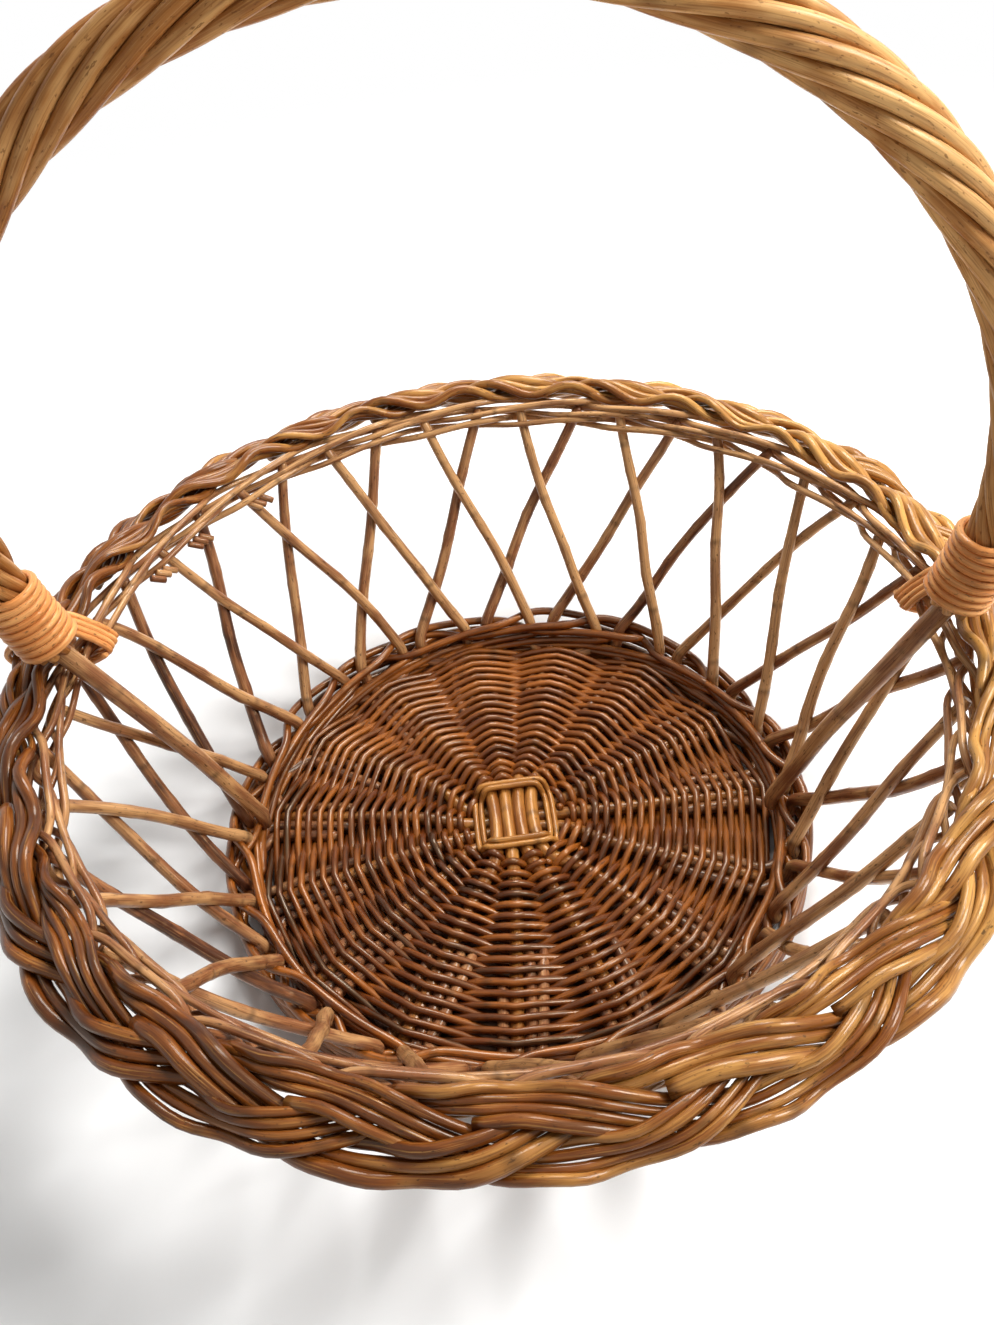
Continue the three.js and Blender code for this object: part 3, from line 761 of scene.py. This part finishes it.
def base_weave_line():
    """A line over one spoke and under the next, round after round, out to the rim."""
    count = len(SPOKE_LINES)
    rows = (BASE_RADIUS + BASE_WEAVE_OVERHANG - BASE_WEAVE_START) / BASE_ROW_PITCH
    places = []
    for n in range(int(rows * count) + 1):
        radius = BASE_WEAVE_START + BASE_ROW_PITCH * n / count + jitter(BASE_ROW_SHIFT)
        reach, angle, height = SPOKE_LINES[n % count]
        spoke_angle = np.interp(radius, reach, angle) + TURN * (n // count)
        side = 1 if n % 2 == 0 else -1
        swing = side * (float(stick_radius(radius)) + BASE_WEAVE_HUG * BASE_ROD_RADIUS)
        places.append((radius, spoke_angle, np.interp(radius, reach, height), swing))
    line = []
    for (r0, a0, h0, s0), (r1, a1, h1, s1) in zip(places, places[1:]):
        for step in range(BASE_SPAN_STEPS):
            share = step / BASE_SPAN_STEPS
            chord = (1 - share) * polar(r0, a0, 0) + share * polar(r1, a1, 0)
            arc = polar(r0 + (r1 - r0) * share, a0 + (a1 - a0) * share, 0)
            point = BASE_WEAVE_STRAIGHTNESS * chord + (1 - BASE_WEAVE_STRAIGHTNESS) * arc
            wave = math.cos(math.pi * share)
            point[2] = h0 + (h1 - h0) * share + (s0 if wave > 0 else -s1) * wave
            line.append(point)
    return np.array(line)


def base_weave_rods():
    """The weave's line, cut into rods that each go over and under some spokes."""
    line = base_weave_line()
    rods = []
    start = 0
    while start < len(line) - 2:
        stop = min(start + BASE_SPAN_STEPS * draw.randint(*BASE_ROD_SPANS) + 3, len(line))
        taper = drawn_taper(thick=(1.0, 1.06), thin=(0.84, 0.95), count=stop - start)
        rods.append(rod(line[start:stop], BASE_ROD_RADIUS * taper, ends=0.6))
        start = stop - 1
    return rods


for name, rods in (("long_base_stick", LONG_STICKS), ("cross_base_stick", CROSS_STICKS)):
    rods_piece(name + "_rods", rods, THICK_SIDES, STICK_WILLOW, "base_willow", name + "s")
rods_piece(
    "slath_binding_rods",
    slath_loops(),
    THIN_SIDES,
    STICK_WILLOW,
    "collar_willow",
    "slath_binding",
)
rods_piece(
    "base_weave_rods",
    # Painted light and shade: the weave is paler towards the back and darker at the front.
    paint_side_light(base_weave_rods(), BACK_SIDE, middle=0.5, reach=0.6, spread=0.8),
    THIN_SIDES,
    BASE_WILLOW,
    "base_willow",
    "base_weave",
)


# Wall


def wall_radius(height):
    return WALE_RADIUS + FLARE * np.maximum(np.asarray(height, float) - FLARE_START, 0)


def stakes():
    """Name, foot, lean and side of the wall of each stake, in order round the basket."""
    found = []
    for i in range(STAKE_PAIRS):
        foot = STAKE_START + 360 / STAKE_PAIRS * i
        found.append(("right_leaning_stake_%02d" % (i + 1), foot, RIGHT_LEAN, INSIDE))
        found.append(("left_leaning_stake_%02d" % (i + 1), foot - PAIR_SPREAD, LEFT_LEAN, OUTSIDE))
    return sorted(found, key=lambda stake: stake[1])


def tucks(feet):
    """Where the stakes' lower ends lie beside the spokes, so that they bend aside the least."""
    slots = []
    for _, angle, _ in SPOKE_LINES:
        for sideways in TUCK_SIDEWAYS:
            slots.append((angle[-1] + sideways / TUCK_RADIUS, angle[-1], sideways))
    slots.sort()

    def bend(order):
        return sum(
            abs((slot[0] - math.radians(foot) + math.pi) % TURN - math.pi)
            for slot, foot in zip(order, feet)
        )

    return min((slots[s:] + slots[:s] for s in range(len(slots))), key=bend)


def stake_line(foot, lean, side, spoke, sideways):
    """From beside a spoke of the base, up through the wale and along the wall to its top."""
    outward = np.array([math.cos(spoke), math.sin(spoke), 0])
    beside = np.array([-math.sin(spoke), math.cos(spoke), 0])
    line = [
        outward * reach + beside * sideways + [0, 0, float(base_height(reach))]
        for reach in (draw.uniform(*TUCK_STARTS), *TUCK_REACHES)
    ]
    line.append(polar(KNEE_RADIUS, foot, KNEE_HEIGHT))
    line.append(polar(ANKLE_RADIUS, foot, ANKLE_HEIGHT))
    bow, bend = jitter(STAKE_BOW), jitter(STAKE_BEND)
    for height in (FLARE_START, *np.linspace(31, WALL_HEIGHT - STAKE_TOP_INSET, 9)):
        rise = (height - FLARE_START) / (WALL_HEIGHT - FLARE_START)
        spread = STAKE_OFFSET + STAKE_BELLY * math.sin(math.pi * rise) ** 0.7
        sway = math.radians(bow * math.sin(math.pi * rise) + bend * math.sin(TURN * rise))
        straight = math.atan2(
            WALL_TOP_RADIUS * rise * math.sin(math.radians(lean)),
            WALE_RADIUS * (1 - rise) + WALL_TOP_RADIUS * rise * math.cos(math.radians(lean)),
        )
        line.append(polar(wall_radius(height) + side * spread, foot + straight + sway, height))
    return smooth_path(line, steps=5)


def stake_rod(foot, lean, side, spoke, sideways):
    """A stake, which swells and kinks a little at its knots, and whose lower end is darkened with
    painted shade.
    """
    path = stake_line(foot, lean, side, spoke, sideways)
    place = lengths_along(path)
    thick = np.interp(place, [0, STAKE_THICKEST, place[-1]], STAKE_TAPER) * STAKE_RADIUS
    thick *= draw.uniform(0.93, 1.07)
    first_knot, knot_gap = draw.uniform(*STAKE_KNOT_STARTS), draw.uniform(*STAKE_KNOT_GAPS)
    knots = np.arange(first_knot, place[-1] - 8, knot_gap)
    for knot in knots:
        thick *= 1 + STAKE_KNOT_SWELL * np.exp(-(((place - knot) / STAKE_KNOT_LENGTH) ** 2))
    kinks = [0, *(jitter(STAKE_KNOT_KINK) for _ in knots[1:-1]), 0]
    aside = np.interp(place, knots, kinks)[:, None]
    path += aside * np.array([-math.sin(foot), math.cos(foot), 0])
    tone = draw.uniform(0.4, 1.0) if side == INSIDE else draw.uniform(0.0, 0.6)
    stake = rod(path, thick, tone, STAKE_WOBBLE)
    # Painted light: the stake is paler towards the window and darker away from it.
    paint_side_light([stake], WINDOW_SIDE, middle=0.5, reach=0.2, spread=1.0)
    # Painted shade: the lower end, down in the base's weave, is darkened.
    above_foot_shade = ease((stake["points"][:, 2] - FOOT_HEIGHT) / FOOT_FADE)
    stake["tone"] *= FOOT_SHADE_TONE + (1 - FOOT_SHADE_TONE) * above_foot_shade
    return stake


def add_stakes():
    found = stakes()
    feet = [foot for _, foot, _, _ in found]
    for (name, foot, lean, side), (_, spoke, sideways) in zip(found, tucks(feet)):
        stake = stake_rod(math.radians(foot), lean, side, spoke, sideways)
        rods_piece(name + "_rod", [stake], MEDIUM_SIDES, STAKE_WILLOW, "stake_willow", name)


def bottom_wale_rods():
    """Rounds of four rods, each before two pairs of stakes and then behind two."""
    rods = []
    gap_middle = math.radians(STAKE_START - PAIR_SPREAD / 2) + PAIR_ANGLE / 2
    reach = STAKE_OFFSET + STAKE_RADIUS + WALE_ROD_RADIUS
    lowest = 1.06 * WALE_ROD_RADIUS
    for level, height in enumerate(WALE_ROUNDS):
        for strand in range(WALE_RODS):
            angle = ring_angles(WALE_POINTS, WALE_OVERLAP)
            phase = TURN * (angle - gap_middle) / (WALE_RODS * PAIR_ANGLE)
            phase = phase + TURN * strand / WALE_RODS + WALE_ROUND_SHIFT * level
            swing = woven_swing(reach, phase, WALE_SQUARENESS)
            lift = WALE_LIFT * np.sin(phase) + WALE_WANDER * np.sin(3.3 * angle + strand)
            line = polar(WALE_RADIUS + swing, angle, np.maximum(height + lift, lowest))
            radius = WALE_ROD_RADIUS * np.linspace(1.04, 0.86, len(angle))
            rods.append(rod(line, radius, ends=0.5))
    for strand in range(INNER_WALE_RODS):
        angle = ring_angles(WALE_POINTS)
        phase = TURN * (angle - gap_middle) / (INNER_WALE_SPAN * PAIR_ANGLE)
        phase = phase + TURN * strand / INNER_WALE_RODS
        height = INNER_WALE_HEIGHT + INNER_WALE_LIFT * np.sin(phase)
        height = height + INNER_WALE_WANDER * np.sin(4 * angle)
        line = polar(INNER_WALE_RADIUS + INNER_WALE_SWING * np.cos(phase), angle, height)
        rods.append(rod(line, WALE_ROD_RADIUS * np.linspace(1.0, 0.86, len(angle)), ends=0.5))
    return rods


def top_fitch_rods():
    """Rows of paired rods that cross between the stakes."""
    rods = []
    reach = STAKE_OFFSET + STAKE_RADIUS * STAKE_TAPER[-1] + FITCH_ROD_RADIUS
    for row, height in enumerate(FITCH_ROWS):
        for strand in range(2):
            angle = ring_angles(FITCH_POINTS)
            phase = math.pi * (angle - FITCH_FIRST_GAP) / PAIR_ANGLE
            phase = phase + math.pi * (strand + FITCH_ROW_SHIFT * row + 0.5)
            swing = woven_swing(reach, phase, FITCH_SQUARENESS)
            level = height + FITCH_LIFT * np.sin(phase)
            level = level + FITCH_WANDER * np.sin(2.2 * angle + 2 * row + strand)
            out, down = swing * math.cos(BORDER_TILT), swing * math.sin(BORDER_TILT)
            line = polar(wall_radius(level) + out, angle, level - down)
            radius = FITCH_ROD_RADIUS * draw.uniform(0.9, 1.15)
            rods.append(rod(line, radius, draw.uniform(0.4, 1.0), ends=0.5))
    return rods


def fitch_cut_ends():
    """Cut ends of the fitch's rods, in threes, left standing out inside the wall."""
    ends = []
    for degrees in FITCH_CUT_PLACES:
        for n in range(3):
            angle = math.radians(degrees + (FITCH_CUT_STEP + jitter(0.2)) * n)
            share = np.linspace(0, 1, 5)
            height = FITCH_CUT_HEIGHT - draw.uniform(0, 1.5) - FITCH_CUT_DROP * share
            reach = wall_radius(106) - FITCH_CUT_INSET - FITCH_CUT_REACH * share
            line = polar(reach, angle - FITCH_CUT_SLANT * share, height)
            ends.append(rod(line, draw.uniform(1.3, 1.6), draw.uniform(0.1, 0.6), ends=0.95))
    return ends


add_stakes()
rods_piece(
    "bottom_wale_rods",
    bottom_wale_rods(),
    THIN_SIDES,
    BASE_WILLOW,
    "base_willow",
    "bottom_wale",
)
# Painted light and shade: the fitch is paler towards the back and darker at the front.
fitch_rods = paint_side_light(top_fitch_rods(), BACK_SIDE, middle=0.5, reach=0.36, spread=0.7)
rods_piece(
    "top_fitch_rods",
    [*fitch_rods, *fitch_cut_ends()],
    THIN_SIDES,
    STAKE_WILLOW,
    "stake_willow",
    "top_fitch",
)


# Border


def border_point(across, angle, up):
    """A point given across and up in the border, which leans down outward."""
    across, up = np.asarray(across, float), np.asarray(up, float)
    cos, sin = math.cos(BORDER_TILT), math.sin(BORDER_TILT)
    radius = BORDER_RADIUS + across * cos + up * sin
    return polar(radius, angle, BORDER_MIDDLE + up * cos - across * sin)


def plait_line(phase, strand, lane, rise):
    """A lane of one strand. Phase runs along the plait, a whole turn for each wave."""
    angle = (phase - TURN * strand / STRANDS) / PLAIT_WAVES + PLAIT_TURN
    swing = BORDER_SWING * (np.sin(phase) + SWING_OVERTONE * np.sin(3 * phase))
    slope = BORDER_SWING * (np.cos(phase) + 3 * SWING_OVERTONE * np.cos(3 * phase))
    slope = slope * PLAIT_WAVES / BORDER_RADIUS
    lift = -BORDER_LIFT * (np.sin(2 * phase) + LIFT_OVERTONE * np.sin(4 * phase))
    bank = np.cos(3 * phase) - BANK_UNDERTONE * np.cos(phase) - BANK_OVERTONE * np.cos(5 * phase)
    bank = -BORDER_BANK * bank
    across = (lane * np.cos(bank) - rise * np.sin(bank)) / np.sqrt(1 + slope**2)
    turned = angle - across * slope / (BORDER_RADIUS + swing + across)
    return border_point(swing + across, turned, lift + lane * np.sin(bank) + rise * np.cos(bank))


def strand_rod(strand, start, stop, lane, radius, butt=0):
    """A rod of a strand from one phase to another. A butt end is thick and lies on top."""
    count = int((stop - start) / TURN * STRAND_POINTS)
    phase = np.linspace(start, stop, count)
    drift = drawn_wave(phase, size=0.25, slow=0.7, fast=1.6)
    rise = drawn_wave(phase, size=0.3, slow=0.8, fast=1.7)
    taper = drawn_taper(thick=(1.0, 1.05), thin=(0.86, 0.96), count=count)
    taper += drawn_wave(phase, size=0.03, slow=3.0, fast=5.0)
    if butt:
        rise += butt * (1 - ease((phase - start) / BUTT_LENGTH))
    line = plait_line(phase, strand, lane + drift, rise)
    return rod(line, radius * taper, ends=0.97 if butt else 0.7)


def strand_lanes():
    """Lanes and radii of a strand's rods in one wave, from its inner edge to its outer."""
    count = draw.choice((3, 4))
    thick = [draw.uniform(0.85, 1.15) for _ in range(count - 1)]
    thick = np.array([*thick, draw.uniform(1.1, 1.35)])
    radius = STRAND_HALF_WIDTH * thick / thick.sum()
    return list(zip(2 * np.cumsum(radius) - radius - STRAND_HALF_WIDTH, radius))


def border_strand_rods(strand):
    """Rods side by side, begun afresh in every wave under the crossing strand."""
    rods = []
    for wave in range(PLAIT_WAVES):
        inner = STRAND_START + TURN * wave
        end = inner + TURN + STRAND_TAIL
        lanes = strand_lanes()
        for lane, radius in lanes[:-1]:
            rods.append(strand_rod(strand, inner - STRAND_LEAD, end, lane, radius))
        lane, radius = lanes[-1]
        if draw.random() < BUTT_CHANCE:
            start = inner + draw.uniform(*BUTT_STARTS)
            rods.append(strand_rod(strand, start, end, lane, radius * BUTT_THICKNESS, BUTT_RISE))
        else:
            rods.append(strand_rod(strand, inner - STRAND_LEAD, end, lane, radius))
    return rods


# Painted light: the border's rods are paler towards the window and darker, as painted shade, away
# from it.
for strand in range(STRANDS):
    rods_piece(
        "border_strand_%d_rods" % (strand + 1),
        paint_side_light(border_strand_rods(strand), WINDOW_SIDE, middle=0.44, reach=0.42, spread=0.34),
        THICK_SIDES,
        BORDER_WILLOW,
        "border_willow",
        "border_strand_%d" % (strand + 1),
    )


# Handle


def mirrored(line):
    """The same line on the other side of the basket, run the other way."""
    return (line * [-1, 1, 1])[::-1]


def handle_line():
    """Middle line of the rope, from its right foot over the arch to its left foot."""
    arch_top = HANDLE_HEIGHT - ROPE_RADIUS
    arch_start = ROPE_FOOT + LEG_SHARE * (arch_top - ROPE_FOOT)
    foot = np.array([float(wall_radius(ROPE_FOOT)) - BOW_INSET, 0, ROPE_FOOT])
    spring = np.array([HANDLE_HALF_SPAN, 0, arch_start])
    reach = LEG_PULL * np.linalg.norm(spring - foot)
    lower = foot + reach * np.array([math.sin(LEG_TILT), 0, math.cos(LEG_TILT)])
    upper = spring - [0, 0, reach]
    share = np.linspace(0, 1, LEG_POINTS)[:, None]
    leg = (
        (1 - share) ** 3 * foot
        + 3 * (1 - share) ** 2 * share * lower
        + 3 * (1 - share) * share**2 * upper
        + share**3 * spring
    )
    turn = np.linspace(0, math.pi / 2, ARCH_POINTS)[1:]
    height = arch_start + (arch_top - arch_start) * np.sin(turn)
    arch = np.stack([HANDLE_HALF_SPAN * np.cos(turn), 0 * turn, height], 1)
    right = np.vstack([leg, arch])
    return np.vstack([right, mirrored(right[:-1])])


HANDLE_LINE = handle_line()
HANDLE_PLACE = lengths_along(HANDLE_LINE)


def on_handle(place):
    return np.stack([np.interp(place, HANDLE_PLACE, HANDLE_LINE[:, i]) for i in range(3)], -1)


def round_handle(place, turn, reach):
    """Points round the handle's middle line. Turn 0 is outside and a quarter turn in front."""
    along = on_handle(place + 1) - on_handle(place - 1)
    along /= np.linalg.norm(along, axis=-1, keepdims=True)
    outward = np.cross(along, FRONT)
    turn, reach = np.asarray(turn)[..., None], np.asarray(reach)[..., None]
    return on_handle(place) + reach * (np.cos(turn) * outward + np.sin(turn) * FRONT)


def handle_rope_rods():
    """Rods wound round the bow, a little tighter near the rope's two feet."""
    rods = []
    total = HANDLE_PLACE[-1]
    place = np.linspace(0.5, total - 0.5, ROPE_POINTS)
    past_right_end = ease(place / ROPE_END_LENGTH)
    past_left_end = ease((total - place) / ROPE_END_LENGTH)
    wound = ROPE_END_WIND * (past_right_end - 1) + ROPE_END_WIND * (1 - past_left_end)
    twist = TURN * (place + wound) / ROPE_PITCH
    for i in range(ROPE_RODS):
        turn = twist + TURN * i / ROPE_RODS
        reach = BOW_RADIUS + ROPE_ROD_RADIUS + 0.12 * np.sin(place / 17 + i)
        radius = ROPE_ROD_RADIUS * draw.uniform(0.95, 1.03)
        rods.append(rod(round_handle(place, turn, reach), radius))
    return rods


def handle_bow_rod():
    """The bow: up the inside of the wall, through the rope and down the other side."""
    heights = BOW_LEG_HEIGHTS
    inset = np.interp(heights, BOW_INSET_HEIGHTS, [BOW_FOOT_INSET, BOW_INSET])
    leg = np.stack([wall_radius(heights) - inset, 0 * heights, heights], 1)
    line = np.vstack([smooth_path(leg, steps=6), HANDLE_LINE, mirrored(leg)])
    radius = np.interp(line[:, 2], BOW_TAPER_HEIGHTS, [BOW_FOOT_RADIUS, BOW_TOP_RADIUS])
    return rod(line, radius, tone=0.52, wobble=0.15)


def collar_rod(side):
    """Close turns of one thin rod round the rope's foot. Side 0 is right and 1 is left."""
    turns = np.linspace(0, COLLAR_TURNS, COLLAR_TURNS * COLLAR_TURN_POINTS)
    place = COLLAR_BOTTOM + COLLAR_PITCH * turns
    if side:
        place = HANDLE_PLACE[-1] - place
    reach = np.full(len(turns), ROPE_RADIUS + COLLAR_ROD_RADIUS * COLLAR_GRIP)
    reach[:COLLAR_TUCK_POINTS] -= np.linspace(COLLAR_TUCK, 0, COLLAR_TUCK_POINTS)
    reach[-COLLAR_TUCK_POINTS:] -= np.linspace(0, COLLAR_TUCK, COLLAR_TUCK_POINTS)
    line = round_handle(place, COLLAR_SEAM - TURN * turns, reach)
    return rod(line, COLLAR_ROD_RADIUS, tone=0.6)


def cut_ends():
    """Short cut ends of rods that stand out of the right collar's top on its outside."""
    ends = []
    for i in range(CUT_ENDS):
        turn = -CUT_END_FAN * (i / (CUT_ENDS - 1) - 0.5) - jitter(0.1)
        top = COLLAR_TOP + CUT_END_RISE * draw.uniform(0.6, 1.0)
        place = np.linspace(COLLAR_TOP - CUT_END_DEPTH, top, CUT_END_POINTS)
        reach = np.linspace(CUT_END_FOOT, draw.uniform(*CUT_END_REACHES), CUT_END_POINTS)
        line = round_handle(place, turn, reach)
        ends.append(rod(line, draw.uniform(*CUT_END_RADII), ends=0.85))
    return ends


def tie_rod(turn, hand):
    """Turns of one thin rod round the border and the fitch, slanted to the handle's foot."""
    line = []
    count = len(TIE_OUTLINE)
    for n in range(TIE_TURNS * count + 1):
        across, up = TIE_OUTLINE[n % count]
        angle = turn + (n / count - TIE_TURNS / 2) * TIE_PITCH * TIE_ROD_RADIUS / TIE_RADIUS
        angle = angle + hand * TIE_SLANT * ease((up - TIE_BOTTOM) / TIE_RISE)
        line.append(border_point(across + jitter(TIE_SHAKE), angle, up + jitter(TIE_SHAKE)))
    return rod(smooth_path(line, steps=5), TIE_ROD_RADIUS, tone=0.7)


# Painted light: the rope's rods are paler towards the window and darker, as painted shade, away
# from it.
rods_piece(
    "handle_rope_rods",
    paint_side_light(handle_rope_rods(), WINDOW_SIDE, middle=0.5, reach=0.36, spread=0.4),
    THICK_SIDES,
    HANDLE_WILLOW,
    "handle_willow",
    "handle_rope",
)
rods_piece(
    "handle_bow_rod",
    [handle_bow_rod()],
    THICK_SIDES,
    STAKE_WILLOW,
    "handle_willow",
    "handle_bow",
)
collars = (("right_collar", [collar_rod(0), *cut_ends()]), ("left_collar", [collar_rod(1)]))
for name, rods in collars:
    rods_piece(name + "_rods", rods, MEDIUM_SIDES, COLLAR_WILLOW, "collar_willow", name)
for name, turn, hand in (("right_tie", RIGHT_TIE, -1), ("left_tie", LEFT_TIE, 1)):
    tie = tie_rod(turn, hand)
    rods_piece(name + "_rods", [tie], THIN_SIDES, COLLAR_WILLOW, "collar_willow", name)


# Floor, lights and camera


def seen_rays(tree):
    """1 for the rays that the camera follows to the background, also through gloss or glass."""
    rays = tree.nodes.new("ShaderNodeLightPath")
    seen = rays.outputs["Is Camera Ray"]
    for ray in ("Is Glossy Ray", "Is Transmission Ray"):
        seen = math_node(tree, "MAXIMUM", seen, rays.outputs[ray])
    return seen


def floor_material():
    """A pale floor that catches the basket's shadow and goes over into the white background.

    It is dark under the base, so that the gaps of the base's weave look shaded.
    """
    material = bpy.data.materials.new("Pale Floor")
    material.use_nodes = True
    tree = material.node_tree
    shader = tree.nodes["Principled BSDF"]
    shader.inputs["Roughness"].default_value = FLOOR_ROUGHNESS
    place = tree.nodes.new("ShaderNodeTexCoord").outputs["Object"]
    reach = linked(tree, "ShaderNodeVectorMath", {0: place}, operation="LENGTH").outputs["Value"]
    open_floor = ramp(tree, reach, *FLOOR_BASE_EDGE, kind="LINEAR")
    colour = mix(tree, open_floor, FLOOR_SHADE_UNDER_BASE, FLOOR_COLOUR)
    tree.links.new(colour, shader.inputs["Base Color"])
    share = math_node(tree, "MULTIPLY", ramp(tree, reach, *FLOOR_FADE), seen_rays(tree))
    white = linked(tree, "ShaderNodeEmission", {"Color": WHITE, "Strength": 1.0}).outputs[0]
    mixed = linked(tree, "ShaderNodeMixShader", {0: share, 1: shader.outputs[0], 2: white})
    tree.links.new(mixed.outputs[0], tree.nodes["Material Output"].inputs["Surface"])
    return material


def make_floor():
    shape = bmesh.new()
    bmesh.ops.create_grid(shape, x_segments=1, y_segments=1, size=FLOOR_HALF_SIZE)
    mesh = bpy.data.meshes.new("pale_floor")
    shape.to_mesh(mesh)
    shape.free()
    mesh.materials.append(floor_material())
    floor = bpy.data.objects.new("pale_floor", mesh)
    scene.collection.objects.link(floor)


def make_lamp(name, place, size, watts):
    lamp = bpy.data.lights.new(name, "AREA")
    lamp.shape = "DISK"
    lamp.size = size
    lamp.energy = watts
    holder = bpy.data.objects.new(name, lamp)
    holder.location = place
    aim = Vector(LAMP_AIM) - Vector(place)
    holder.rotation_euler = aim.to_track_quat("-Z", "Y").to_euler()
    scene.collection.objects.link(holder)


def make_world():
    """A white background, which lights the basket less than it shows."""
    world = bpy.data.worlds.new("White Studio")
    scene.world = world
    world.use_nodes = True
    tree = world.node_tree
    back = tree.nodes["Background"]
    back.inputs["Color"].default_value = WHITE
    inputs = {"Value": seen_rays(tree), "To Min": WORLD_LIGHT, "To Max": 1.0}
    strength = linked(tree, "ShaderNodeMapRange", inputs)
    tree.links.new(strength.outputs["Result"], back.inputs["Strength"])


def make_camera():
    yaw, pitch, roll = CAMERA_YAW, CAMERA_PITCH, CAMERA_ROLL
    forward = Vector(
        (math.sin(yaw) * math.cos(pitch), math.cos(yaw) * math.cos(pitch), -math.sin(pitch))
    )
    level = Vector((math.cos(yaw), -math.sin(yaw), 0))
    upright = level.cross(forward)
    right = math.cos(roll) * level + math.sin(roll) * upright
    up = -math.sin(roll) * level + math.cos(roll) * upright
    lens = bpy.data.cameras.new("camera")
    lens.sensor_width = SENSOR_SIZE
    lens.lens = FOCAL_PIXELS / PHOTO_PIXELS * SENSOR_SIZE
    lens.clip_start = 0.01
    camera = bpy.data.objects.new("camera", lens)
    camera.matrix_world = Matrix.Translation(Vector(CAMERA_PLACE * MM)) @ Matrix(
        [[right[i], up[i], -forward[i]] for i in range(3)]
    ).to_4x4()
    scene.collection.objects.link(camera)
    scene.camera = camera


make_floor()
for lamp in LAMPS:
    make_lamp(*lamp)
make_world()
make_camera()
scene.view_settings.view_transform = "Standard"
